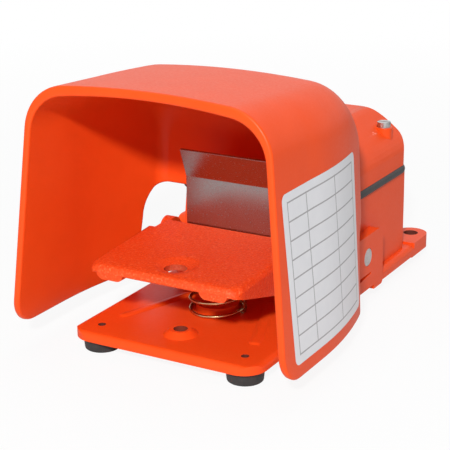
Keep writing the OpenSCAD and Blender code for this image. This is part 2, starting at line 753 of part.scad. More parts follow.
module treadle() {
    w = treadle_w / 2;
    dish_y = treadle_front + 16.5;
    dish_r = 43;
    color("orangered") placed() difference() {
        union() {
            intersection() {
                linear_extrude(2 * treadle_z) tread_plan();
                across(-w, w) tread_side();
            }
            both_sides() {
                across(w - treadle_wall, w) treadle_wall_side();
                rod_x(w - treadle_wall - 2, w, gate_axis_y, gate_axis_z, gate_ear_r);
                front_leg();
                // short web behind the spring
                translate([spring_r + 4, tread_neck_y + 1, gate_axis_z - 8])
                    cube([w - spring_r - 4 - treadle_wall / 2, 4, 12]);
            }
            rod_x(-w, w, pivot_y, pivot_z, hub_r);
            // tail with its round end
            translate([-tail_w / 2, pivot_y, tail_top - tail_t]) cube([tail_w, rod_arm, tail_t]);
            post(0, rod_y, tail_top - tail_t, tail_top, tail_w / 2);
            // ring that keeps the spring's upper end in place
            post(0, spring_y, spring_top - 3.5, spring_top + 2, spring_r - spring_wire_r - 2.5);
            // pad whose underside is the level seat of the spring's upper end
            intersection() {
                post(0, spring_y, spring_top, spring_top + 2, spring_r + spring_wire_r + 1);
                translate([-w, 0, 0]) cube([2 * w, tread_back, 2 * treadle_z]);
            }
        }
        difference() {
            post(0, spring_y, spring_top - 2, spring_top, spring_r + spring_wire_r + 1);
            post(0, spring_y, spring_top - 3, spring_top + 1, spring_r - spring_wire_r - 2.5);
        }
        post(0, dish_y, 0, 2 * treadle_z, access_r);
        translate([0, dish_y, tread_z(dish_y) + dish_r - 1.9]) sphere(dish_r, $fn = 96);
        rod_x(-w - 1, w + 1, pivot_y, pivot_z, bush_r + seat_gap);
        rod_x(-w - 1, w + 1, gate_axis_y, gate_axis_z, gate_shaft_r + seat_gap);
        post(0, rod_y, 0, tail_top + 1, 3 + seat_gap);
        post(0, spring_y, spring_top - 5, spring_top - 1, spring_r - spring_wire_r - 5);
    }
}

module treadle_bushes() {
    w = treadle_w / 2;
    color("peru") placed() both_sides() difference() {
        union() {
            rod_x(w - bush_len, w + 1.2, pivot_y, pivot_z, bush_r);
            rod_x(w + seat_gap, w + 1.2, pivot_y, pivot_z, bush_r + 1.6);
        }
        rod_x(w - bush_len - 1, w + 2, pivot_y, pivot_z, pin_r + run_gap);
    }
}

module actuating_screw() {
    color("silver") placed() union() {
        post(0, rod_y, tail_top - tail_t - 2.5, screw_tip_z - 1.5, 3);
        intersection() {
            post(0, rod_y, screw_tip_z - 1.6, screw_tip_z, 3);
            translate([0, rod_y, screw_tip_z - 5]) sphere(5);
        }
    }
}

module actuating_locknut() {
    color("gray") placed() difference() {
        translate([0, rod_y, tail_top]) cylinder(h = locknut_t, r = 5.5, $fn = 6);
        post(0, rod_y, tail_top - 1, tail_top + locknut_t + 1, 3 + seat_gap);
    }
}

// ---------- gate ----------

// Bent section of the gate: a straight plate and a lip that leans towards the toe.
module gate_section() {
    tip_y = gate_front - lip_len * sin(lip_lean);
    tip_z = gate_bend_z + lip_len * cos(lip_lean);
    step = gate_t * tan(lip_lean / 2);
    polygon([[gate_front, tread_z(gate_front) - tread_t + 1], [gate_front, gate_bend_z], [tip_y, tip_z],
        [tip_y + gate_t * cos(lip_lean), tip_z + gate_t * sin(lip_lean)],
        [gate_front + gate_t, gate_bend_z + step],
        [gate_front + gate_t, tread_z(gate_front) - tread_t + 1]]);
}

// Side flange: it carries the shaft hole and ends in the latch.
module gate_flange() {
    y1 = gate_axis_y + 4;
    polygon(round_path([[gate_front, gate_ear_z0, 2], [gate_axis_y - 3.5, gate_ear_z0 - 2, 2],
        [gate_axis_y - 3.5, latch_z, 1], [y1, latch_z, 1], [y1, gate_axis_z + 5, 4],
        [gate_front + 3, gate_axis_z + 14, 3], [gate_front, gate_axis_z + 16, 0]], 4));
}

module gate() {
    w = gate_w / 2;
    color("lightslategray") placed() difference() {
        union() {
            across(-w, w) gate_section();
            both_sides() across(w - gate_t, w) gate_flange();
        }
        rod_x(-w - 1, w + 1, gate_axis_y, gate_axis_z, gate_shaft_r + run_gap);
    }
}

module gate_shaft() {
    color("silver") placed()
        rod_x(-treadle_w / 2 - 2.4, treadle_w / 2 + 2.4, gate_axis_y, gate_axis_z, gate_shaft_r);
}

module gate_clips() {
    w = treadle_w / 2;
    color("gray") placed() both_sides() difference() {
        rod_x(w + 0.3, w + 1.2, gate_axis_y, gate_axis_z, gate_shaft_r + 2.6);
        rod_x(w, w + 2, gate_axis_y, gate_axis_z, gate_shaft_r + seat_gap);
        translate([w, gate_axis_y - 1.4, gate_axis_z - 9]) cube([2, 2.8, 8.5]);
    }
}

module gate_spring() {
    coil_r = gate_shaft_r + 1;
    coil_wire_r = 0.45;
    coils = 6;
    x0 = gate_w / 2 - 9;
    steps = 14;
    // one leg stands behind the gate, the other reaches forward to the treadle's web
    coil = [for (i = [0:steps * coils])
        let (a = 180 - 360 * i / steps)
        [x0 + 1.1 * i / steps, gate_axis_y + coil_r * cos(a), gate_axis_z + coil_r * sin(a)]];
    up = [for (k = [5:-1:1]) [x0, gate_axis_y - coil_r - 2 * k, gate_axis_z - 0.9 * k]];
    tail = [for (k = [1:5]) coil[len(coil) - 1] + [0, 0, 2.4 * k]];
    color("silver") placed() wire(concat(up, coil, tail), coil_wire_r, 6);
}

// ---------- push rod and switch ----------

module push_rod() {
    color("silver") placed() union() {
        post(0, rod_y, rod_z0, rod_head_z + eps, rod_r);
        post(0, rod_y, rod_head_z, rod_head_z + rod_head_t, rod_r + 1.5);
    }
}

module rod_guide() {
    color("peru") placed() difference() {
        union() {
            post(0, rod_y, pocket_top, chamber_floor + 1.5, rod_r + 2.5);
            post(0, rod_y, chamber_floor, chamber_floor + 1.5, rod_r + 4.5);
        }
        post(0, rod_y, pocket_top - 1, chamber_floor + 3, rod_r + run_gap);
    }
}

module rod_seal() {
    color("dimgray") placed() difference() {
        post(0, rod_y, chamber_floor + 1.5, chamber_floor + 4.5, rod_r + 3);
        post(0, rod_y, chamber_floor + 1, chamber_floor + 5, rod_r + 0.1);
        translate([0, rod_y, chamber_floor + 3.3]) cylinder(h = 2, r1 = rod_r + 0.1, r2 = rod_r + 2);
    }
}

bracket_x = -switch_w / 2;
bracket_screw_x = bracket_x - 11;
bracket_screw_y = [switch_y0 + 8, switch_y0 + switch_len - 8];
bracket_y0 = switch_y0 + 2;
bracket_y1 = switch_y0 + switch_len - 2;
switch_screw_y = [switch_y0 + switch_len / 2 - 12.7, switch_y0 + switch_len / 2 + 12.7];
switch_screw_z = switch_z + 7;
ground_x = 32;
ground_y = housing_front + 38;

module switch_bracket() {
    color("lightgray") placed() difference() {
        union() {
            translate([bracket_x - bracket_t, bracket_y0, chamber_floor])
                cube([bracket_t, bracket_y1 - bracket_y0, switch_z + switch_h * 0.8 - chamber_floor]);
            translate([bracket_x - 18, bracket_y0, chamber_floor])
                cube([18, bracket_y1 - bracket_y0, bracket_t]);
        }
        for (y = bracket_screw_y) post(bracket_screw_x, y, chamber_floor - 1, chamber_floor + 5, 2.2);
        for (y = switch_screw_y) rod_x(bracket_x - 5, bracket_x + 1, y, switch_screw_z, 2.1 + seat_gap);
    }
}

module bracket_screws() {
    color("silver") placed() for (y = bracket_screw_y)
        translate([bracket_screw_x, y, chamber_floor + bracket_t]) pan_screw(2, 3.8, 2.6, bracket_t + 3.4);
}

module switch_body() {
    rib = 1;
    color("saddlebrown") placed() difference() {
        translate([-switch_w / 2, switch_y0, switch_z]) cube([switch_w, switch_len, switch_h]);
        // bores of the plunger and of the two mounting screws
        post(0, rod_y, switch_z - 1, plunger_z0 + plunger_len + rod_lift + 0.6, plunger_r + run_gap);
        for (y = switch_screw_y) rod_x(-switch_w, switch_w, y, switch_screw_z, 2.1 + run_gap);
        // barriers stay between the three terminals
        for (y = terminal_y) translate([-switch_w, y - terminal_w / 2, switch_z + switch_h - 3])
            cube([2 * switch_w, terminal_w, 4]);
        for (y = terminal_y) post(0, y, switch_z + switch_h - 7, switch_z + switch_h, 1.75 + seat_gap);
        // moulded step along the lower edge
        for (x = [-1, 1]) translate([x * switch_w / 2 - rib, switch_y0 - 1, switch_z - eps])
            cube([2 * rib, switch_len + 2, 2]);
    }
}

terminal_w = 11;
terminal_y = [switch_y0 + 7.5, switch_y0 + switch_len / 2, switch_y0 + switch_len - 7.5];

module terminal_screws() {
    color("gold") placed() for (y = terminal_y) translate([0, y, switch_z + switch_h - 3]) {
        translate([-4.5, -4.5, 0]) difference() {
            cube([9, 9, 0.8]);
            translate([4.5, 4.5, -1]) cylinder(h = 3, r = 1.75 + seat_gap);
        }
        translate([0, 0, 0.8 + seat_gap]) pan_screw(1.75, 3.4, 2.2, 4.2);
    }
}

module switch_screws() {
    color("silver") placed() for (y = switch_screw_y)
        translate([switch_w / 2, y, switch_screw_z]) rotate([0, 90, 0])
            pan_screw(2.1, 3.8, 2.6, switch_w + bracket_t + 1.5);
}

module ground_screw() {
    color("green") placed() translate([ground_x, ground_y, chamber_floor]) {
        cylinder(h = 2.8, r = 4.2, $fn = 6);
        translate([0, 0, -3.4]) cylinder(h = 3.5, r = 2);
    }
}

module switch_plunger() {
    color("black") placed() post(0, rod_y, plunger_z0, plunger_z0 + plunger_len, plunger_r);
}

base();
cover();
cover_gasket();
cover_screws();
hood();
hood_screws();
pivot_pin();
pin_set_screws();
rubber_feet();
foot_screws();
return_spring();
rod_guide();
rod_seal();
switch_bracket();
bracket_screws();
switch_body();
switch_screws();
terminal_screws();
ground_screw();
treadle();
treadle_bushes();
actuating_screw();
actuating_locknut();
gate_shaft();
gate_clips();
gate_spring();
gate();
push_rod();
switch_plunger();
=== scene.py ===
# %% [markdown]
# # An industrial foot switch
# The object is a heavy pedal switch for a machine. A ribbed iron base carries a switch housing
# at the rear, a deep hood keeps falling things off the treadle, and a spring holds the treadle
# up. A small steel gate hangs behind the treadle, so that the toe has to reach in first.
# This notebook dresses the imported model: it keeps every place and size, and gives each piece
# smooth surfaces and a finish of its own.

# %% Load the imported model
from math import cos, pi, radians, sin, tan

import bmesh
import bpy
import numpy as np
from mathutils import Matrix, Vector


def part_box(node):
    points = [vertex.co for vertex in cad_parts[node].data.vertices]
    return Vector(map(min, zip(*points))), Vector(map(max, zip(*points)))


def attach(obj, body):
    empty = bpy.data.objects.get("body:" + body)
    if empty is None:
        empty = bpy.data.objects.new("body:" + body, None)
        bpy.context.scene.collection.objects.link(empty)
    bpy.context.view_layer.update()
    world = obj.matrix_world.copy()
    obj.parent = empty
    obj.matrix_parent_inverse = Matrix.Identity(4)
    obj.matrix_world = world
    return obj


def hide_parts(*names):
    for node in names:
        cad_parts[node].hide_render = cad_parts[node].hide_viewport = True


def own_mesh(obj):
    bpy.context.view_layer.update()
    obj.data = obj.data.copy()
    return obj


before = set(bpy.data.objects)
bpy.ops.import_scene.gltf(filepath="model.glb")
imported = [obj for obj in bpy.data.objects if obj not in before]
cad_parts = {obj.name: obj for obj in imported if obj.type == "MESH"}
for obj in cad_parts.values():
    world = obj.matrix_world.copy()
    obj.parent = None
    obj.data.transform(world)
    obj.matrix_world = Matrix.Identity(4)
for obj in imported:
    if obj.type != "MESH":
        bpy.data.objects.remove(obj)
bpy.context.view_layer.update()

# %% [markdown]
# ## One ruler for everything
# A maker measures a foot switch from the front edge of its base plate and from the floor, in
# millimetres. The shared frame is in metres and has its zero under the middle. One helper turns
# the first into the second, so that every later number can be read off a workshop drawing.

# %% From workshop millimetres to the frame
MM = 0.001
plate_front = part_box("base")[0].y


def in_frame(points):
    """Divides every point by a thousand and adds the place of the plate's front edge to its depth."""
    moved = np.array(points, float) * MM
    moved[..., 1] += plate_front
    return moved


print("front edge of the plate lies at", round(plate_front, 4), "m")

# %% [markdown]
# ## The camera
# A camera is placed before the pieces, because it decides how fine each piece has to be. It
# stands to the front and right of the switch, a little above it, with a long lens: a long lens
# keeps the sides of a boxy object nearly parallel.

# %% Place the camera
CAMERA_PLACE = Vector((0.37039, plate_front - 0.56860, 0.30940))
CAMERA_TURN, CAMERA_HEIGHT, CAMERA_ROLL = radians(29.95), radians(18.45), radians(-0.6)
SENSOR_WIDTH, LENS = 36.0, 109.48


def camera_axes(turn, height, roll):
    """The camera looks along minus its third axis: that axis points back at the turn and height
    given, the first lies level beside it, and the roll swings the first two about it."""
    back = Vector((sin(turn) * cos(height), -cos(turn) * cos(height), sin(height)))
    right = Vector((cos(turn), sin(turn), 0.0))
    up = back.cross(right)
    return cos(roll) * right + sin(roll) * up, cos(roll) * up - sin(roll) * right, back


camera_data = bpy.data.cameras.new("studio_camera")
camera_data.sensor_width = SENSOR_WIDTH
camera_data.lens = LENS
camera = bpy.data.objects.new("studio_camera", camera_data)
bpy.context.collection.objects.link(camera)
camera.matrix_world = Matrix.Translation(CAMERA_PLACE) @ Matrix(
    camera_axes(CAMERA_TURN, CAMERA_HEIGHT, CAMERA_ROLL)).transposed().to_4x4()
bpy.context.scene.camera = camera
print("camera stands at", [round(v, 3) for v in camera.location])

# %% [markdown]
# ## Surfaces from grids of points
# Cast and pressed parts are smooth sheets that meet along edges. Each sheet can be worked out
# as a grid: a formula with two parameters gives every point at once. Sheets that share an edge
# hold the same points there, so merging doubles closes the piece, and the outward side is then
# found once for the whole closed solid.

# %% A piece from several grids
def grid_faces(rows, columns, first):
    """Numbers the four corners of every cell of a rows by columns grid whose points start at first."""
    corner = first + np.arange(rows - 1)[:, None] * columns + np.arange(columns - 1)[None, :]
    return np.stack([corner, corner + 1, corner + columns + 1, corner + columns], -1).reshape(-1, 4)


def soften(mesh, degrees=38):
    """Shades the mesh smooth, except across edges that turn by more than the angle given."""
    mesh.polygons.foreach_set("use_smooth", np.ones(len(mesh.polygons), bool))
    mesh.set_sharp_from_angle(angle=radians(degrees))
    mesh.update()


def piece_from_grids(name, grids, body, closed=True, merge=0.02):
    """Puts grids of millimetre points, each rows by columns by 3, into one mesh and merges doubles."""
    points = np.concatenate([in_frame(grid).reshape(-1, 3) for grid in grids])
    sizes = [grid.shape[0] * grid.shape[1] for grid in grids]
    starts = np.concatenate([[0], np.cumsum(sizes)[:-1]])
    faces = np.concatenate([grid_faces(grid.shape[0], grid.shape[1], start)
                            for grid, start in zip(grids, starts)])
    mesh = bpy.data.meshes.new(name)
    mesh.from_pydata(points.tolist(), [], faces.tolist())
    work = bmesh.new()
    work.from_mesh(mesh)
    bmesh.ops.remove_doubles(work, verts=work.verts, dist=merge * MM)
    bmesh.ops.dissolve_degenerate(work, edges=work.edges, dist=0.001 * MM)
    if closed:
        bmesh.ops.recalc_face_normals(work, faces=work.faces)
    open_edges = sum(1 for edge in work.edges if not edge.is_manifold)
    work.to_mesh(mesh)
    work.free()
    soften(mesh)
    piece = bpy.data.objects.new(name, mesh)
    bpy.context.collection.objects.link(piece)
    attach(piece, body)
    print(name, "has", len(mesh.polygons), "faces and", open_edges, "open edges")
    return piece

# %% [markdown]
# ## The hood
# The hood is one casting: side walls that lean a little, a roof with a slight crown and a fall
# to the rear, rounded shoulders, and a back that rounds down to the cover. It could be pushed
# out of a cube by hand, but a formula keeps the wall even and the highlights clean. Every cross
# section is the same figure, a leaning side line, a shoulder arc and a crown arc, and only its
# measures change with the depth.

# %% Measures of the hood
HOOD_BACK, SIDE_ROUND_FROM, ROOF_ROUND_FROM = 114.0, 104.5, 80.0
REFERENCE_HEIGHT, SEAM_HEIGHT, HOOD_FLOOR = 60.0, 75.0, 15.2
MOUTH_LEAN = 3.3
HOOD_LEAN = radians(MOUTH_LEAN)
MOUTH_DEPTH, HALF_AT_REFERENCE, ROOF_TOP, SHOULDER = -16.0, 81.8, 156.6, 27.3
WALL, ROOF_WALL, OUTER_CROWN, INNER_CROWN = 4.0, 5.0, 548.0, 400.0


def front_of_hood(height):
    """The mouth leans back: its depth grows with the height by the tangent of the lean."""
    return MOUTH_DEPTH + (np.asarray(height) - HOOD_FLOOR) * tan(HOOD_LEAN)


def rounded_in(depth, start, radius):
    """How far a quarter circle that starts at a depth has drawn a wall in: the radius less the
    root of radius squared less travel squared."""
    travel = np.clip(np.asarray(depth) - start, 0.0, radius)
    return radius - np.sqrt(radius * radius - travel * travel)


def hood_measures(depth, inside):
    """Half width at the reference height, side slope, roof height, shoulder radius and crown
    radius of the section at each depth, for the outer skin or for the inner one."""
    wall, roof, crown = (WALL, ROOF_WALL, INNER_CROWN) if inside else (0.0, 0.0, OUTER_CROWN)
    drawn_in = rounded_in(depth, SIDE_ROUND_FROM, HOOD_BACK - wall - SIDE_ROUND_FROM)
    bow = rounded_in(depth, 35.0, 240.0)
    slope = 0.1 - 0.05 * np.clip((np.asarray(depth) - 30.0) / 80.0, 0.0, 1.0)
    half = HALF_AT_REFERENCE - bow - wall - drawn_in
    top = (ROOF_TOP - 0.06 * (np.asarray(depth) + 8.0) - roof
           - rounded_in(depth, ROOF_ROUND_FROM, HOOD_BACK - wall - ROOF_ROUND_FROM))
    return half, slope, top, SHOULDER - wall - drawn_in / 2.0, crown


print("mouth at the roof lies at depth", round(float(front_of_hood(ROOF_TOP)), 1), "mm")

# %% Points of the hood's two skins
def side_of_hood(depth, height, inside):
    """Half width of the side line at a depth and height: the half width at the reference
    height plus the slope times the drop from there."""
    half, slope = hood_measures(depth, inside)[:2]
    return half + slope * (REFERENCE_HEIGHT - height)


def arch_of_hood(depth, run, inside):
    """Half breadth, height and outward direction on the arch. The run goes 0 to 1 up the side
    line from the seam, 1 to 2 round the shoulder arc and 2 to 3 along the crown arc. The
    shoulder's centre lies one radius inside the side line, where its distance from the crown's
    centre is the difference of the two radii."""
    half, slope, top, shoulder, crown = hood_measures(depth, inside)
    lean = np.arctan(slope)
    nx, nz = np.cos(lean), np.sin(lean)
    off = nx * half + nz * REFERENCE_HEIGHT - shoulder
    qx, qz = nx * off, nz * off - (top - crown)
    across = -qx * nz + qz * nx
    excess = qx * qx + qz * qz - (crown - shoulder) ** 2
    slide = -across + np.sqrt(across * across - excess)
    mx, mz = nx * off - nz * slide, nz * off + nx * slide
    turn = np.arctan2(mz - (top - crown), mx)
    foot_x = half + slope * (REFERENCE_HEIGHT - SEAM_HEIGHT)
    climb = np.clip(run, 0.0, 1.0)
    line_x = foot_x + (mx + shoulder * nx - foot_x) * climb
    line_z = SEAM_HEIGHT + (mz + shoulder * nz - SEAM_HEIGHT) * climb
    bend = lean + (turn - lean) * np.clip(run - 1.0, 0.0, 1.0)
    crest = turn + (pi / 2 - turn) * np.clip(run - 2.0, 0.0, 1.0)
    x = np.where(run <= 1, line_x,
                 np.where(run <= 2, mx + shoulder * np.cos(bend), crown * np.cos(crest)))
    z = np.where(run <= 1, line_z,
                 np.where(run <= 2, mz + shoulder * np.sin(bend), top - crown + crown * np.sin(crest)))
    angle = np.where(run <= 1, lean, np.where(run <= 2, bend, crest))
    return x, z, angle


print("half width at the seam:", round(float(side_of_hood(0.0, SEAM_HEIGHT, False)), 1), "mm")

# %% [markdown]
# Below the seam the side walls end in a drawn outline: a rounded lower front corner, a level
# lower edge, and a cut-out that clears the treadle's arms. Above the seam they run into the
# roof. So each skin is made of two grids that share the seam, and their columns start on that
# outline and on the leaning mouth.

# %% Outline of the side wall below the seam
LOWER_CORNER, CUT_CORNER, CUT_START, CUT_FOOT = 15, 3, 90.33, 97.0
CUT_RADIUS, CUT_CENTRE, CUT_HEIGHT = 22, 119, 49.5
BACK_STEPS = np.radians([0, 10, 20, 30, 40, 50, 60, 70, 78, 85, 90])


def wall_outline(back):
    """Depth, height, and the angle of the direction into the wall, for the lower outline from
    the mouth to the back, and the depth where each point's column meets the seam."""
    front_arc = np.radians(np.linspace(180 - MOUTH_LEAN, 270, 10))
    centre = front_of_hood(HOOD_FLOOR + LOWER_CORNER) + LOWER_CORNER / cos(HOOD_LEAN)
    arc_y = centre + LOWER_CORNER * np.cos(front_arc)
    arc_z = HOOD_FLOOR + LOWER_CORNER + LOWER_CORNER * np.sin(front_arc)
    level_y = np.linspace(arc_y[-1], CUT_START, 16)[1:-1]
    corner = np.radians(np.linspace(90, 173.3, 6))
    corner_y = CUT_START - CUT_CORNER * np.cos(corner)
    corner_z = HOOD_FLOOR + CUT_CORNER - CUT_CORNER * np.sin(corner)
    slant = np.linspace(0, 1, 8)[1:-1]
    slant_y = corner_y[-1] + (CUT_FOOT - corner_y[-1]) * slant
    slant_z = corner_z[-1] + (CUT_HEIGHT - corner_z[-1]) * slant
    reach = (back - SIDE_ROUND_FROM) * np.sin(BACK_STEPS)
    round_start = np.arccos((SIDE_ROUND_FROM - CUT_CENTRE) / CUT_RADIUS)
    last_arc = np.concatenate([np.linspace(pi, round_start, 6)[:-1],
                               np.arccos((SIDE_ROUND_FROM + reach - CUT_CENTRE) / CUT_RADIUS)])
    y = np.concatenate([arc_y, level_y, corner_y, slant_y, CUT_CENTRE + CUT_RADIUS * np.cos(last_arc)])
    z = np.concatenate([arc_z, np.full(level_y.size, HOOD_FLOOR), corner_z, slant_z,
                        CUT_HEIGHT + CUT_RADIUS * np.sin(last_arc)])
    inward = np.concatenate([np.radians(np.linspace(0, 90, 10)), np.full(level_y.size, pi / 2),
                             corner, np.full(slant_y.size, corner[-1]), last_arc])
    inward[-1] = pi / 2
    count = y.size
    rounding = count - BACK_STEPS.size
    marks = [0, 9, 9 + level_y.size, rounding]
    seam_y = np.interp(np.arange(count), marks, [front_of_hood(SEAM_HEIGHT), 6, 82, SIDE_ROUND_FROM])
    seam_y[rounding:] = y[rounding:]
    return y, z, inward, seam_y


outline = wall_outline(HOOD_BACK)
print("lower outline of the side wall:", outline[0].size, "points")

# %% Skins, rounded rim and back of the hood
RIM_ROUND = 1.3
HEIGHT_GUESS, HEIGHT_ROUNDS = 110.0, 6
ARCH_RUN = np.concatenate([np.linspace(0, 1, 9), np.linspace(1, 2, 15)[1:], np.linspace(2, 3, 15)[1:]])
ROUND_STEPS = np.radians(np.linspace(0, 90, 5))


def skin_of_hood(inside):
    """The lower grid, the upper grid, the rounded rim of each, and the outline of the back,
    all for the right half of one skin."""
    back = HOOD_BACK - (WALL if inside else 0.0)
    sign = 1.0 if inside else -1.0
    y, z, inward, seam_y = wall_outline(back)
    start = front_of_hood(SEAM_HEIGHT) + RIM_ROUND
    share = np.clip((seam_y - start) / (back - start), 0.0, 1.0)
    share[0] = 0.0
    seam = start + share * (back - start)
    turned = np.arcsin(np.clip((y - SIDE_ROUND_FROM) / (back - SIDE_ROUND_FROM), 0.0, 1.0))
    # rounded rim below the seam
    rise = RIM_ROUND * (1 - np.sin(ROUND_STEPS))[:, None]
    sink = RIM_ROUND * (1 - np.cos(ROUND_STEPS))[:, None]
    ry, rz = y + rise * np.cos(inward), z + rise * np.sin(inward)
    lean = np.arctan(hood_measures(ry, inside)[1])
    rx = side_of_hood(ry, rz, inside)
    low_rim = np.stack([rx + sign * sink * np.cos(lean) * np.cos(turned),
                        ry + sign * sink * np.sin(turned),
                        rz + sign * sink * np.sin(lean) * np.cos(turned)], -1)
    # lower grid from the rim up to the seam
    v = np.linspace(0, 1, 9)[:, None]
    ly = ry[0] * (1 - v) + seam * v
    lz = rz[0] * (1 - v) + SEAM_HEIGHT * v
    lower = np.stack([side_of_hood(ly, lz, inside), ly, lz], -1)
    # upper grid from the seam to the middle of the roof; depth and height depend on each other,
    # so a few rounds bring them together
    run = ARCH_RUN[:, None]
    uz = np.full((run.size, share.size), HEIGHT_GUESS)
    for _ in range(HEIGHT_ROUNDS):
        begin = front_of_hood(uz) + RIM_ROUND
        uy = begin + share * (back - begin)
        ux, uz, _ = arch_of_hood(uy, run, inside)
    upper = np.stack([ux, uy, uz], -1)
    # rounded rim round the mouth: the straight part below the seam, then the arch
    rise, sink = rise.T, sink.T
    mz = np.full((run.size, ROUND_STEPS.size), HEIGHT_GUESS)
    for _ in range(HEIGHT_ROUNDS):
        my = front_of_hood(mz) + rise
        mx, mz, angle = arch_of_hood(my, run, inside)
    jz = (rz[0, 0] * (1 - v) + SEAM_HEIGHT * v) + 0 * rise
    jy = front_of_hood(jz) + rise
    jamb_lean = np.arctan(hood_measures(jy, inside)[1])
    mx = np.concatenate([side_of_hood(jy, jz, inside)[:-1], mx])
    my, mz = np.concatenate([jy[:-1], my]), np.concatenate([jz[:-1], mz])
    angle = np.concatenate([jamb_lean[:-1], angle])
    mouth = np.stack([mx + sign * sink * np.cos(angle), my, mz + sign * sink * np.sin(angle)], -1)
    edge = np.concatenate([lower[:, -1], upper[1:, -1]])
    return lower, upper, low_rim, mouth, edge


def mirrored(grids):
    """The same grids with the sign of their first coordinate changed."""
    return [grid * np.array([-1.0, 1.0, 1.0]) for grid in grids]


def hood_grids():
    """Both skins, the rim between them, and the flat back with its rounded lower edge."""
    outer, inner = skin_of_hood(False), skin_of_hood(True)
    halves = list(outer[:4]) + list(inner[:4])
    across = np.linspace(0, 1, 4)[:, None, None]
    halves.append(outer[2][-1] * (1 - across) + inner[2][-1] * across)
    halves.append(outer[3][:, -1] * (1 - across) + inner[3][:, -1] * across)
    width = np.linspace(-1, 1, 13)[None, :, None] * np.array([1.0, 0, 0]) + np.array([0, 1.0, 1.0])
    middle = [outer[4][:, None] * width, inner[4][:, None] * width,
              outer[2][:, -1][:, None] * width, inner[2][:, -1][:, None] * width,
              halves[-2][:, -1][:, None] * width]
    return halves + mirrored(halves) + middle


hood = piece_from_grids("hood_shell", hood_grids(), "housing")
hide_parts("hood")

# %% [markdown]
# ## The blank record card
# The right wall of the hood carries a printed card. A shop writes its own checks on such a card,
# so here it is blank: a pale card with thin grey rules that make an empty table. It is a
# thin sheet that follows the wall, so its grid uses the wall's own formula, a little proud of it.
# Its corners are rounded by drawing each row's ends in along a quarter circle.

# %% Make the record card
CARD_FROM, CARD_TO, CARD_LOW, CARD_HIGH, CARD_CORNER = -4.0, 89.0, 22.6, 111.7, 4.0
CARD_PROUD = 0.15


def card_on_wall():
    """Rows of points over the wall: depth runs from end to end of each row, and near the top and
    bottom a row is shortened by the quarter circle radius minus root of radius squared less
    overlap squared. The half width is the wall's, plus how proud the card stands."""
    tallness, quarter = CARD_HIGH - CARD_LOW, np.radians(np.linspace(0, 90, 7))
    rise = np.concatenate([CARD_CORNER * (1 - np.cos(quarter)),
                           np.linspace(CARD_CORNER, tallness - CARD_CORNER, 24)[1:-1],
                           tallness - CARD_CORNER * (1 - np.sin(quarter))])
    height = CARD_LOW + rise
    overlap = np.maximum(0.0, np.maximum(CARD_CORNER - rise, rise - (tallness - CARD_CORNER)))
    short = CARD_CORNER - np.sqrt(np.maximum(0.0, CARD_CORNER ** 2 - overlap ** 2))
    along = np.linspace(0, 1, 41)
    depth = (CARD_FROM + short)[:, None] + ((CARD_TO - CARD_FROM) - 2 * short)[:, None] * along
    tall = height[:, None] + 0 * depth
    half = side_of_hood(depth, tall, False)
    points = np.stack([half + CARD_PROUD, depth, tall], -1)
    uv = np.stack([(depth - CARD_FROM) / (CARD_TO - CARD_FROM), (tall - CARD_LOW) / tallness], -1)
    return points, uv


def sheet_piece(name, points, uv, body):
    """One open grid as a mesh, with a UV map that holds the two parameters of the surface."""
    mesh = bpy.data.meshes.new(name)
    mesh.from_pydata(in_frame(points).reshape(-1, 3).tolist(), [],
                     grid_faces(points.shape[0], points.shape[1], 0).tolist())
    corner = np.empty(len(mesh.loops), np.int32)
    mesh.loops.foreach_get("vertex_index", corner)
    layer = mesh.uv_layers.new(name="surface")
    layer.data.foreach_set("uv", uv.reshape(-1, 2)[corner].ravel())
    soften(mesh)
    piece = bpy.data.objects.new(name, mesh)
    bpy.context.collection.objects.link(piece)
    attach(piece, body)
    return piece


card = sheet_piece("record_card", *card_on_wall(), "housing")
print("record card has", len(card.data.polygons), "faces, first normal", card.data.polygons[0].normal)

# %% [markdown]
# ## Castings with broken edges
# The base, the cover and the treadle are castings too, but their shapes come from many cuts, and
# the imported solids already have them. What the solids lack is the small radius that a pattern
# maker gives to each edge and that catches the light. A copy of each mesh gets its doubled
# points merged and its flat triangles joined, and a Bevel modifier then rounds what is sharp.

# %% Helpers that reshape a copy
def cut_by_planes(work, planes):
    """Splits the faces along planes, each given as an axis number and a place in millimetres."""
    for axis, place in planes:
        point = in_frame([place, place, place])[axis]
        where, facing = [0.0, 0.0, 0.0], [0.0, 0.0, 0.0]
        where[axis], facing[axis] = point, 1.0
        everything = work.verts[:] + work.edges[:] + work.faces[:]
        bmesh.ops.bisect_plane(work, geom=everything, plane_co=where, plane_no=facing, dist=1e-6)


def in_millimetres(mesh):
    """All the mesh's points as rows, in workshop millimetres."""
    points = np.empty(len(mesh.vertices) * 3)
    mesh.vertices.foreach_get("co", points)
    points = points.reshape(-1, 3).copy()
    points[:, 1] -= plate_front
    return points / MM


def corner_gap(x, y, half, front, radius):
    """Distance inwards from a strip's outline: the strip is 2 half wide, starts at the front and
    has two rounded front corners. It is the radius less the length of the part of the point's
    offset from the corner centre that points outwards, or the nearer side where it has none."""
    qx, qy = np.abs(x) - (half - radius), (front + radius) - y
    outside = np.hypot(np.maximum(qx, 0), np.maximum(qy, 0))
    return radius - outside - np.minimum(np.maximum(qx, qy), 0)


def drawn_to_corner(points, half, front, radius, above):
    """A point above a height that lies beyond a front corner's quarter round moves straight
    towards the round's centre until it lies on it."""
    x, y, z = points.T
    centre_x, centre_y = half - radius, front + radius
    dx, dy = np.abs(x) - centre_x, centre_y - y
    far = np.hypot(dx, dy)
    beyond = (dx > 0) & (dy > 0) & (dx < radius + 0.5) & (dy < radius + 0.1)
    beyond &= (far > radius) & (z > above)
    pull = np.where(beyond, radius / np.maximum(far, 1e-9), 1.0)
    return np.stack([np.where(beyond, np.sign(x) * (centre_x + dx * pull), x),
                     np.where(beyond, centre_y - dy * pull, y), z], -1)


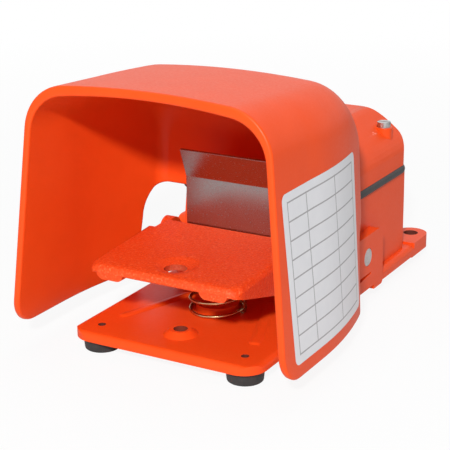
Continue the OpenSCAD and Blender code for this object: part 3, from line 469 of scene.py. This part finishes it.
def planes_inward(half, front, steps):
    """Planes at each step inwards from both sides and from the front."""
    return [(axis, place) for step in steps
            for axis, place in ((0, half - step), (0, step - half), (1, front + step))]


print("a corner's gap in the middle of a side:", float(corner_gap(10.0, 50.0, 12.0, 0.0, 5.0)), "mm")

# %% [markdown]
# Feet have rolled the treadle's upper edge over, and its front corners are round. The housing's
# front corners are round too, because sand does not hold a sharp corner. The flat faces have no
# points there, so planes close to the edge are cut first, and the points are then moved onto
# the round. In an editor that would be loop cuts and a bevel, but here every step stays exact.

# %% Rolled treadle and rounded housing
ROLL = 4.0
ROLL_STEPS = ROLL * (1 - np.sin(np.radians([4, 16, 28, 40, 52, 64, 77, 90])))
FLAT_STEPS = [6.0, 7.5]
TREAD_HALF, TREAD_FRONT, TREAD_TOP, TREAD_SLOPE, TREAD_CORNER = 47.4, 3.8, 53.5, 0.049, 7.0
TREAD_LOW, ROLL_END, SLAB_DEPTH = 40.0, 66.0, 6.0
ROLL_PLANES = planes_inward(TREAD_HALF, TREAD_FRONT, np.concatenate([ROLL_STEPS[1:], FLAT_STEPS]))


def rolled_tread(points):
    """Draws the front corners in to upright quarter rounds, then lets the top fall to the
    outline in a quarter circle: no point stays higher than the sloping top less (roll minus the
    root of roll squared less overlap squared)."""
    x, y, z = drawn_to_corner(points, TREAD_HALF, TREAD_FRONT, TREAD_CORNER, TREAD_LOW).T
    gap = np.clip(corner_gap(x, y, TREAD_HALF, TREAD_FRONT, TREAD_CORNER), 0.0, ROLL)
    drop = ROLL - np.sqrt(ROLL ** 2 - (ROLL - gap) ** 2)
    limit = TREAD_TOP + TREAD_SLOPE * (y - TREAD_FRONT) - drop
    near = (gap < ROLL) & (y < ROLL_END) & (z > TREAD_TOP - SLAB_DEPTH)
    return np.stack([x, y, np.where(near, np.minimum(z, limit), z)], -1)


HOUSING_HALF, HOUSING_FRONT, HOUSING_CORNER, HOUSING_LOW = 53.5, 114.0, 9.0, 17.0
CORNER_STEPS = HOUSING_CORNER * (1 - np.sin(np.radians([5, 17, 30, 42, 55, 70, 90])))
CORNER_PLANES = planes_inward(HOUSING_HALF, HOUSING_FRONT, CORNER_STEPS)


def rounded_housing(points):
    """Draws the housing's two front corners in to upright quarter rounds."""
    return drawn_to_corner(points, HOUSING_HALF, HOUSING_FRONT, HOUSING_CORNER, HOUSING_LOW)


print(len(ROLL_PLANES), "planes for the treadle and", len(CORNER_PLANES), "for the housing")

# %% Copies of solids with rounded edges
SAME_POINT = 0.004


def with_round_edges(node, name, body, edge, sharp=34, flat=1.2, smooth=30, planes=(), reshape=None):
    """Copies a node's mesh, merges doubles, dissolves edges flatter than an angle, and rounds the
    sharper ones with a bevel of the given width. Where a reshape is given, the mesh is first cut
    along planes and its points are moved by it."""
    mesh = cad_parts[node].data.copy()
    mesh.name = name
    mesh.materials.clear()
    work = bmesh.new()
    work.from_mesh(mesh)
    bmesh.ops.remove_doubles(work, verts=work.verts, dist=SAME_POINT * MM)
    bmesh.ops.dissolve_limit(work, angle_limit=radians(flat), verts=work.verts, edges=work.edges)
    cut_by_planes(work, planes)
    open_edges = sum(1 for one in work.edges if not one.is_manifold)
    work.to_mesh(mesh)
    work.free()
    if reshape:
        mesh.vertices.foreach_set("co", in_frame(reshape(in_millimetres(mesh))).ravel())
    for attribute in [a.name for a in mesh.attributes if a.name.startswith("custom_normal")]:
        mesh.attributes.remove(mesh.attributes[attribute])
    soften(mesh, smooth)
    piece = bpy.data.objects.new(name, mesh)
    bpy.context.collection.objects.link(piece)
    bevel = piece.modifiers.new("broken_edges", "BEVEL")
    bevel.width, bevel.segments, bevel.limit_method = edge * MM, 3, "ANGLE"
    bevel.angle_limit, bevel.harden_normals = radians(sharp), False
    piece.modifiers.new("even_shading", "WEIGHTED_NORMAL").keep_sharp = True
    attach(piece, body)
    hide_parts(node)
    print(name, "has", len(mesh.polygons), "faces and", open_edges, "open edges")
    return piece


base_casting = with_round_edges("base", "base_casting", "housing", 0.9,
                                planes=CORNER_PLANES, reshape=rounded_housing)
cover_casting = with_round_edges("cover", "cover_casting", "housing", 0.9,
                                 planes=CORNER_PLANES, reshape=rounded_housing)
treadle_casting = with_round_edges("treadle", "treadle_casting", "treadle", 0.9,
                                   planes=ROLL_PLANES, reshape=rolled_tread)
gate_plate = with_round_edges("gate", "gate_plate", "gate", 0.4, sharp=12, smooth=11)
foot_pads = with_round_edges("rubber_feet", "foot_pads", "housing", 0.8)
hinge_pin = with_round_edges("pivot_pin", "hinge_pin", "housing", 0.6)

# %% [markdown]
# The gasket between housing and cover is squeezed by the screws, so its edge swells out as a
# round bead. That is a profile carried along the housing's outline: half an ellipse outside,
# closed by a flat band inside.

# %% Gasket with a swollen edge
REAR_CORNER, HOUSING_REAR = 8.0, 212.0
BEAD_BELOW, BEAD_ABOVE, BEAD_SWELL, BAND_INWARD = 0.5, 0.3, 1.9, 3.2


def housing_outline(corner_steps=9):
    """Points and outward directions along the housing's outline: four quarter circles about the
    corner centres, the front pair with the front radius, joined by straight sides."""
    turn = np.radians(np.linspace(0, 90, corner_steps))
    corners = ((1, -1, HOUSING_CORNER, HOUSING_FRONT, -90), (1, 1, REAR_CORNER, HOUSING_REAR, 0),
               (-1, 1, REAR_CORNER, HOUSING_REAR, 90), (-1, -1, HOUSING_CORNER, HOUSING_FRONT, 180))
    places, normals = [], []
    for side, end, radius, edge, start in corners:
        normal = np.stack([np.cos(turn + radians(start)), np.sin(turn + radians(start))], -1)
        centre = np.array([side * (HOUSING_HALF - radius), edge - end * radius])
        places.append(centre + radius * normal)
        normals.append(normal)
    places, normals = np.concatenate(places), np.concatenate(normals)
    return np.concatenate([places, places[:1]]), np.concatenate([normals, normals[:1]])


def bead_on_outline(low, high, swell, inward):
    """The half ellipse stands out by the swell times the cosine and rises by half the height
    times the sine; the band lies inward of the outline by a fixed amount."""
    places, normals = housing_outline()
    phi = np.radians(np.linspace(-90, 90, 11))
    out = np.concatenate([[-inward], swell * np.cos(phi), [-inward], [-inward]])
    up = np.concatenate([[low], (low + high) / 2 + (high - low) / 2 * np.sin(phi), [high], [low]])
    flat = places[:, None] + out[None, :, None] * normals[:, None]
    return np.concatenate([flat, np.broadcast_to(up[None, :, None], flat.shape[:2] + (1,))], -1)


gasket_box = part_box("cover_gasket")
joint_gasket = piece_from_grids("joint_gasket", [bead_on_outline(
    gasket_box[0].z / MM - BEAD_BELOW, gasket_box[1].z / MM + BEAD_ABOVE, BEAD_SWELL, BAND_INWARD)],
    "housing")
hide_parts("cover_gasket")

# %% [markdown]
# ## Springs
# A spring is a round wire on a helix. Blender's Screw modifier could wind it, but the end turns
# have to lie flat, so the wire is carried along a path that is worked out point by point: the
# angle grows evenly, and the height stands still in the first and last part turn.

# %% Wire carried along a path
def wire_grid(path, radius, sides=14):
    """Rings round every path point: the tangent comes from its neighbours, one side direction
    lies across the tangent and a fixed near-vertical one, and the ring is radius times the
    cosine and sine of the angle along the two."""
    tangent = np.gradient(path, axis=0)
    tangent /= np.linalg.norm(tangent, axis=1, keepdims=True)
    side = np.cross(tangent, np.array([0.01, 0.02, 1.0]))
    side /= np.linalg.norm(side, axis=1, keepdims=True)
    lift = np.cross(side, tangent)
    angle = np.linspace(0, 2 * pi, sides + 1)
    ring = (np.cos(angle)[None, :, None] * side[:, None] + np.sin(angle)[None, :, None] * lift[:, None])
    tube = path[:, None] + radius * ring
    ends = [path[[end, end]][:, None] * np.ones((1, sides + 1, 1)) for end in (0, -1)]
    ends[0][1], ends[1][0] = tube[0], tube[-1]
    return [tube] + ends


SPRING_DEPTH, SPRING_RADIUS, SPRING_WIRE, SPRING_TURNS, FLAT_TURN = 65.0, 15.9, 0.9, 6.0, 0.75
spring_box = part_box("return_spring")
spring_rise = (spring_box[1].z - spring_box[0].z) / MM - 2 * SPRING_WIRE
turn = np.linspace(0, SPRING_TURNS, int(SPRING_TURNS * 48) + 1)
climb = np.clip((turn - FLAT_TURN) / (SPRING_TURNS - 2 * FLAT_TURN), 0, 1)
spring_path = np.stack([SPRING_RADIUS * np.cos(2 * pi * turn),
                        SPRING_DEPTH + SPRING_RADIUS * np.sin(2 * pi * turn),
                        spring_box[0].z / MM + SPRING_WIRE
                        + spring_rise * (0.04 * turn / SPRING_TURNS + 0.96 * climb)], -1)
return_spring = piece_from_grids("return_coil", wire_grid(spring_path, SPRING_WIRE), "housing", merge=0.005)
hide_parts("return_spring")
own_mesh(return_spring)

# %% [markdown]
# ## Finishes
# Every finish is worked out from the piece's own coordinates, so that its grain has a real size
# in millimetres and stays put when the piece moves. An effect that several finishes share is
# built once as a node group with named inputs, and each material sets its own values.

# %% Helpers for node trees
def add(tree, kind, inputs=None, **settings):
    """A new node of one kind, with plain settings and input values by name."""
    node = tree.nodes.new("ShaderNode" + kind)
    for key, value in settings.items():
        setattr(node, key, value)
    for key, value in (inputs or {}).items():
        node.inputs[key].default_value = value
    return node


def new_group(name, inputs, outputs):
    """An empty node group with named sockets, given as (name, kind, starting value)."""
    group = bpy.data.node_groups.new(name, "ShaderNodeTree")
    for socket, kind, value in inputs:
        made = group.interface.new_socket(socket, in_out="INPUT", socket_type="NodeSocket" + kind)
        if value is not None:
            made.default_value = value
    for socket, kind in outputs:
        group.interface.new_socket(socket, in_out="OUTPUT", socket_type="NodeSocket" + kind)
    return group, group.nodes.new("NodeGroupInput"), group.nodes.new("NodeGroupOutput")


def place_group(tree, group, **values):
    """The group as one node of a material, with its inputs set."""
    node = tree.nodes.new("ShaderNodeGroup")
    node.node_tree = group
    for key, value in values.items():
        node.inputs[key.replace("_", " ")].default_value = value
    return node

# %% [markdown]
# Paint on a sand casting shows two things at once: the fine orange peel of the paint, and the
# slow waves of the sand mould below it. Noise at two scales gives both, and the slow one also
# shifts the colour and the gloss a little, because paint lies thicker in the hollows.

# %% Skin of a painted casting
cast_skin, skin_in, skin_out = new_group(
    "cast_skin",
    [("Place", "Vector", None), ("Peel Size", "Float", 900.0), ("Wave Size", "Float", 90.0),
     ("Peel Share", "Float", 0.6)],
    [("Height", "Float"), ("Tone", "Float"), ("Dullness", "Float")])
peel = add(cast_skin, "TexNoise", {"Detail": 3.0, "Roughness": 0.55})
wave = add(cast_skin, "TexNoise", {"Detail": 2.0, "Roughness": 0.5})
both = add(cast_skin, "Mix", data_type="FLOAT")
tone = add(cast_skin, "MapRange", {"From Min": 0.35, "From Max": 0.65})
dull = add(cast_skin, "MapRange", {"From Min": 0.3, "From Max": 0.7, "To Min": -0.05, "To Max": 0.05})
for a, b in ((skin_in.outputs["Place"], peel.inputs["Vector"]),
             (skin_in.outputs["Place"], wave.inputs["Vector"]),
             (skin_in.outputs["Peel Size"], peel.inputs["Scale"]),
             (skin_in.outputs["Wave Size"], wave.inputs["Scale"]),
             (skin_in.outputs["Peel Share"], both.inputs["Factor"]),
             (wave.outputs["Fac"], both.inputs["A"]), (peel.outputs["Fac"], both.inputs["B"]),
             (both.outputs["Result"], skin_out.inputs["Height"]),
             (wave.outputs["Fac"], tone.inputs["Value"]), (tone.outputs["Result"], skin_out.inputs["Tone"]),
             (peel.outputs["Fac"], dull.inputs["Value"]),
             (dull.outputs["Result"], skin_out.inputs["Dullness"])):
    cast_skin.links.new(a, b)
print("group", cast_skin.name, "puts out",
      [s.name for s in cast_skin.interface.items_tree if s.in_out == "OUTPUT"])


def finish_from_skin(name, colour, second, gloss, bump, peel_size, wave_size, peel_share, metal=0.0,
                     shine=0.5):
    """A principled material whose colour runs between two tones, with roughness and bump from the
    cast skin. The bump's distance is in metres, and the shine is the shader's specular level."""
    material = bpy.data.materials.new(name)
    material.use_nodes = True
    tree = material.node_tree
    shader = tree.nodes["Principled BSDF"]
    shader.inputs["Metallic"].default_value = metal
    shader.inputs["Specular IOR Level"].default_value = shine
    place = add(tree, "TexCoord")
    skin = place_group(tree, cast_skin, Peel_Size=peel_size, Wave_Size=wave_size, Peel_Share=peel_share)
    colours = add(tree, "Mix", {"A": (*colour, 1.0), "B": (*second, 1.0)}, data_type="RGBA")
    rough = add(tree, "Math", {1: gloss}, operation="ADD", use_clamp=True)
    lift = add(tree, "Bump", {"Strength": 1.0, "Distance": bump})
    for a, b in ((place.outputs["Object"], skin.inputs["Place"]),
                 (skin.outputs["Tone"], colours.inputs["Factor"]),
                 (colours.outputs["Result"], shader.inputs["Base Color"]),
                 (skin.outputs["Dullness"], rough.inputs[0]),
                 (rough.outputs["Value"], shader.inputs["Roughness"]),
                 (skin.outputs["Height"], lift.inputs["Height"]),
                 (lift.outputs["Normal"], shader.inputs["Normal"])):
        tree.links.new(a, b)
    return material

# %% Paint, rubber, steel, brass and plastic
orange_enamel = finish_from_skin("orange_enamel", (0.88, 0.080, 0.009), (0.86, 0.076, 0.008),
                                 0.40, 0.00004, 700.0, 60.0, 0.6, shine=0.22)
grip_enamel = finish_from_skin("grip_enamel", (0.88, 0.078, 0.009), (0.83, 0.066, 0.007),
                               0.50, 0.00090, 640.0, 1500.0, 0.7, shine=0.3)
black_rubber = finish_from_skin("moulded_rubber", (0.022, 0.021, 0.021), (0.032, 0.030, 0.029),
                                0.55, 0.00006, 1500.0, 220.0, 0.7)
dull_steel = finish_from_skin("dull_gate_steel", (0.37, 0.345, 0.34), (0.35, 0.325, 0.32),
                              0.23, 0.000001, 900.0, 60.0, 0.7, metal=1.0)
bright_steel = finish_from_skin("bright_steel", (0.56, 0.55, 0.54), (0.47, 0.46, 0.45),
                                0.3, 0.00002, 1800.0, 300.0, 0.6, metal=1.0)
zinc_yellow = finish_from_skin("yellow_zinc", (0.62, 0.52, 0.28), (0.50, 0.44, 0.28),
                               0.24, 0.000002, 1400.0, 160.0, 0.5, metal=1.0)
guide_bronze = finish_from_skin("guide_bronze", (0.52, 0.30, 0.13), (0.42, 0.23, 0.10),
                                0.36, 0.00002, 1600.0, 240.0, 0.6, metal=1.0)
contact_brass = finish_from_skin("contact_brass", (0.78, 0.57, 0.22), (0.66, 0.45, 0.17),
                                 0.28, 0.00001, 1500.0, 240.0, 0.6, metal=1.0)
switch_case = finish_from_skin("switch_case", (0.030, 0.028, 0.027), (0.040, 0.037, 0.035),
                               0.38, 0.00003, 1400.0, 200.0, 0.7)
plunger_plastic = finish_from_skin("plunger_plastic", (0.55, 0.06, 0.04), (0.48, 0.05, 0.035),
                                   0.35, 0.00002, 1200.0, 180.0, 0.7)
ground_green = finish_from_skin("ground_green", (0.05, 0.28, 0.08), (0.04, 0.22, 0.06),
                                0.35, 0.00002, 1600.0, 240.0, 0.6, metal=0.4)
blackened_steel = finish_from_skin("blackened_steel", (0.045, 0.042, 0.040), (0.035, 0.033, 0.032),
                                   0.45, 0.00001, 1600.0, 240.0, 0.6, metal=0.6)
print("finishes so far:", len(bpy.data.materials))

# %% [markdown]
# The top of the treadle is painted over grit, so that a wet shoe holds. The grit's small
# crests get a painted highlight and its hollows a painted shade. A third, fine noise is cut
# off high, so that only its peaks are left as specks, and these mix a lit, lighter tone into
# the enamel. Its lowest parts mix in a shaded, darker one.

# %% Grit under the treadle's enamel, with painted highlights and painted shade
tree = grip_enamel.node_tree
shader = tree.nodes["Principled BSDF"]
smooth_colour = shader.inputs["Base Color"].links[0].from_socket
grit = add(tree, "TexNoise", {"Scale": 900.0, "Detail": 2.0, "Roughness": 0.6})
crest_highlight_mask = add(tree, "MapRange", {"From Min": 0.56, "From Max": 0.70, "To Max": 0.7})
hollow_shade_mask = add(tree, "MapRange", {"From Min": 0.30, "From Max": 0.46, "To Min": 0.55, "To Max": 0.0})
# painted highlight on the grit's crests and painted shade in its hollows
painted_crest_highlight = add(tree, "Mix", {"B": (0.98, 0.21, 0.075, 1)}, data_type="RGBA")
painted_hollow_shade = add(tree, "Mix", {"B": (0.62, 0.030, 0.003, 1)}, data_type="RGBA")
for a, b in ((add(tree, "TexCoord").outputs["Object"], grit.inputs["Vector"]),
             (grit.outputs["Fac"], crest_highlight_mask.inputs["Value"]), (grit.outputs["Fac"], hollow_shade_mask.inputs["Value"]),
             (smooth_colour, painted_crest_highlight.inputs["A"]), (crest_highlight_mask.outputs["Result"], painted_crest_highlight.inputs["Factor"]),
             (painted_crest_highlight.outputs["Result"], painted_hollow_shade.inputs["A"]),
             (hollow_shade_mask.outputs["Result"], painted_hollow_shade.inputs["Factor"]),
             (painted_hollow_shade.outputs["Result"], shader.inputs["Base Color"])):
    tree.links.new(a, b)
print("the treadle's enamel has", len(tree.nodes), "nodes")

# %% [markdown]
# The card is a blank inspection record: thin grey rules make rows to write in, and upright rules
# part them into three columns. The print follows the sheet, so it reads the UV map: a row's rule
# is where a sawtooth of the height is near its middle, and an upright one is where the width lies
# between two values. The group puts out one mask.

# %% Print of the record card
card_print, print_in, print_out = new_group(
    "card_print", [("Surface", "Vector", None), ("Rows", "Float", 9.0)],
    [("Rules", "Float")])
split = add(card_print, "SeparateXYZ")
card_print.links.new(print_in.outputs["Surface"], split.inputs["Vector"])


def between(value, low, high):
    """1 where the value lies between two limits, else 0: one comparison around their middle."""
    node = add(card_print, "Math", {1: (low + high) / 2, 2: (high - low) / 2}, operation="COMPARE")
    card_print.links.new(value, node.inputs[0])
    return node.outputs["Value"]


def joined(first, second, operation):
    """One arithmetic step between two values."""
    node = add(card_print, "Math", operation=operation)
    card_print.links.new(first, node.inputs[0])
    card_print.links.new(second, node.inputs[1])
    return node.outputs["Value"]


UPRIGHT_RULES, HALF_RULE = (0.06, 0.28, 0.64, 0.94), 0.004
times = joined(split.outputs["Y"], print_in.outputs["Rows"], "MULTIPLY")
saw = add(card_print, "Math", operation="FRACT")
card_print.links.new(times, saw.inputs[0])
marks = between(saw.outputs["Value"], 0.46, 0.54)
for upright in UPRIGHT_RULES:
    marks = joined(marks, between(split.outputs["X"], upright - HALF_RULE, upright + HALF_RULE), "MAXIMUM")
inside = joined(between(split.outputs["X"], 0.056, 0.944), between(split.outputs["Y"], 0.05, 0.95),
                "MULTIPLY")
card_print.links.new(joined(marks, inside, "MULTIPLY"), print_out.inputs["Rules"])

record_print = bpy.data.materials.new("record_print")
record_print.use_nodes = True
tree = record_print.node_tree
shader = tree.nodes["Principled BSDF"]
shader.inputs["Roughness"].default_value = 0.36
surface = add(tree, "UVMap", uv_map="surface")
masks = place_group(tree, card_print, Rows=9.0)
paper = add(tree, "TexNoise", {"Scale": 160.0, "Detail": 2.0})
white = add(tree, "Mix", {"A": (0.74, 0.74, 0.77, 1), "B": (0.80, 0.80, 0.82, 1)}, data_type="RGBA")
ruled = add(tree, "Mix", {"B": (0.36, 0.35, 0.36, 1)}, data_type="RGBA")
for a, b in ((surface.outputs["UV"], masks.inputs["Surface"]),
             (add(tree, "TexCoord").outputs["Object"], paper.inputs["Vector"]),
             (paper.outputs["Fac"], white.inputs["Factor"]),
             (white.outputs["Result"], ruled.inputs["A"]), (masks.outputs["Rules"], ruled.inputs["Factor"]),
             (ruled.outputs["Result"], shader.inputs["Base Color"])):
    tree.links.new(a, b)
print("card print has", len(card_print.nodes), "nodes")

# %% [markdown]
# The walls of the drilled holes get painted shade, the shade that falls inside a bore. In the
# wide ones it is weaker. The faces of those walls carry a mark from 0 to 1, and both enamels
# turn to a near-black brown by that much.

# %% Painted shade in the drilled holes
BORE_SHADE_COLOUR, STEEP = (0.055, 0.030, 0.026, 1), 0.5


def mark_bore_shade(piece, bores):
    """Marks a piece's bore walls for painted shade: steep faces whose middle lies nearer to a
    bore's upright axis than its radius. The bores are rows of x, y, radius and shade strength."""
    count = len(piece.data.polygons)
    middle, normal = np.empty(count * 3), np.empty(count * 3)
    piece.data.polygons.foreach_get("center", middle)
    piece.data.polygons.foreach_get("normal", normal)
    middle = middle.reshape(-1, 3) / MM
    middle[:, 1] -= plate_front / MM
    steep = np.abs(normal.reshape(-1, 3)[:, 2]) < STEEP
    marked = np.zeros(count)
    for x, y, radius, shade_strength in bores:
        near = np.hypot(middle[:, 0] - x, middle[:, 1] - y) < radius
        marked[near & steep] = shade_strength
    piece.data.attributes.new("bare_metal", "FLOAT", "FACE").data.foreach_set("value", marked)
    print(piece.name, "has", np.count_nonzero(marked), "faces in bores")


mark_bore_shade(base_casting, [(0, 24, 4.6, 0.8), (46, 14.4, 3.2, 0.9), (-46, 14.4, 3.2, 0.9),
                          (49, 235, 5.3, 0.9), (-49, 235, 5.3, 0.9)])
mark_bore_shade(treadle_casting, [(0, 20.3, 6.9, 0.45)])
# both enamels mix towards the painted shade colour by each face's mark
for enamel in (orange_enamel, grip_enamel):
    tree = enamel.node_tree
    shader = next(node for node in tree.nodes if node.type == "BSDF_PRINCIPLED")
    mark = add(tree, "Attribute", attribute_name="bare_metal")
    shaded_wall = add(tree, "Mix", {"B": BORE_SHADE_COLOUR}, data_type="RGBA")
    tree.links.new(mark.outputs["Fac"], shaded_wall.inputs["Factor"])
    tree.links.new(shader.inputs["Base Color"].links[0].from_socket, shaded_wall.inputs["A"])
    tree.links.new(shaded_wall.outputs["Result"], shader.inputs["Base Color"])

# %% Give every piece and every carried-over solid its finish
FINISH_OF_PIECE = {
    orange_enamel: [hood, base_casting, cover_casting], grip_enamel: [treadle_casting],
    dull_steel: [gate_plate], black_rubber: [foot_pads, joint_gasket], zinc_yellow: [return_spring],
    bright_steel: [hinge_pin], record_print: [card]}
for material, dressed in FINISH_OF_PIECE.items():
    for piece in dressed:
        piece.data.materials.clear()
        piece.data.materials.append(material)

FINISH_OF_SLOT = {
    "orange_casting": orange_enamel, "black_rubber": black_rubber, "gate_steel": dull_steel,
    "bright_steel": bright_steel, "spring_steel": zinc_yellow, "bronze": guide_bronze,
    "brass": contact_brass, "switch_case": switch_case, "plunger_plastic": plunger_plastic,
    "ground_green": ground_green}
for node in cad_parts.values():
    for holder in node.material_slots:
        for slot_name, material in FINISH_OF_SLOT.items():
            if holder.material and holder.material.name.startswith(slot_name):
                holder.material = material
                break
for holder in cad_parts["foot_screws"].material_slots:
    holder.material = blackened_steel
print("finishes:", len(FINISH_OF_SLOT), "slots and", len(FINISH_OF_PIECE), "piece finishes")

# %% [markdown]
# ## The studio
# The switch stands on a plain pale floor. One broad lamp stands in front and above, as high as
# the roof's shadow inside the hood asks, and a softbox hangs overhead. The world fills the
# shadows a little. The background is white by colour: for the camera and for reflections the
# world has strength one, and the floor mixes in the same white for the camera alone. It mixes in
# less near the switch, so that it still holds the shadow, and all of it far off, so that no
# horizon shows.

# %% Floor
floor_mesh = bpy.data.meshes.new("studio_floor")
floor_mesh.from_pydata([(x, y, 0.0) for x, y in ((-4, -4), (4, -4), (4, 4), (-4, 4))], [], [(0, 1, 2, 3)])
studio_floor = bpy.data.objects.new("studio_floor", floor_mesh)
bpy.context.collection.objects.link(studio_floor)
pale_floor = bpy.data.materials.new("pale_floor")
pale_floor.use_nodes = True
tree = pale_floor.node_tree
shader = tree.nodes["Principled BSDF"]
shader.inputs["Roughness"].default_value = 0.9
shader.inputs["Base Color"].default_value = (0.8, 0.8, 0.8, 1)
shader.inputs["Specular IOR Level"].default_value = 0.0
path = add(tree, "LightPath")
away = add(tree, "VectorMath", operation="LENGTH")
whiter = add(tree, "MapRange", {"From Min": 0.15, "From Max": 0.9, "To Min": 0.91, "To Max": 1.0})
share = add(tree, "Math", operation="MULTIPLY")
seen = add(tree, "MixShader")
glow = add(tree, "Emission", {"Color": (1, 1, 1, 1), "Strength": 1.0})
for a, b in ((add(tree, "TexCoord").outputs["Object"], away.inputs[0]),
             (away.outputs["Value"], whiter.inputs["Value"]), (whiter.outputs["Result"], share.inputs[1]),
             (path.outputs["Is Camera Ray"], share.inputs[0]), (share.outputs["Value"], seen.inputs["Fac"]),
             (shader.outputs["BSDF"], seen.inputs[1]),
             (glow.outputs["Emission"], seen.inputs[2]),
             (seen.outputs["Shader"], tree.nodes["Material Output"].inputs["Surface"])):
    tree.links.new(a, b)
floor_mesh.materials.append(pale_floor)
print("floor is", [round(side, 1) for side in studio_floor.dimensions], "m")

# %% Lamps and world
def area_lamp(name, place, target, width, height, power, colour=(1, 1, 1)):
    """A rectangular lamp at a place, in metres, whose face looks at a target."""
    data = bpy.data.lights.new(name, "AREA")
    data.shape, data.size, data.size_y, data.energy, data.color = "RECTANGLE", width, height, power, colour
    lamp = bpy.data.objects.new(name, data)
    bpy.context.collection.objects.link(lamp)
    lamp.location = place
    lamp.rotation_euler = (Vector(target) - Vector(place)).to_track_quat("-Z", "Y").to_euler()
    return lamp


area_lamp("front_lamp", (0.60, -1.48, 0.99), (0.0, -0.05, 0.09), 0.12, 0.10, 33.0)
area_lamp("overhead_softbox", (-0.1, 0.1, 1.5), (0.0, 0.0, 0.1), 1.3, 1.1, 7.0)

world = bpy.data.worlds.new("white_studio")
bpy.context.scene.world = world
world.use_nodes = True
tree = world.node_tree
path = add(tree, "LightPath")
seen = add(tree, "Math", operation="MAXIMUM")
shown = add(tree, "Math", operation="MAXIMUM")
strength = add(tree, "MapRange", {"To Min": 0.15, "To Max": 1.0})
back = tree.nodes["Background"]
back.inputs["Color"].default_value = (1, 1, 1, 1)
for a, b in ((path.outputs["Is Camera Ray"], seen.inputs[0]),
             (path.outputs["Is Glossy Ray"], seen.inputs[1]),
             (seen.outputs["Value"], shown.inputs[0]),
             (path.outputs["Is Transmission Ray"], shown.inputs[1]),
             (shown.outputs["Value"], strength.inputs["Value"]),
             (strength.outputs["Result"], back.inputs["Strength"])):
    tree.links.new(a, b)
bpy.context.scene.view_settings.view_transform = "Standard"
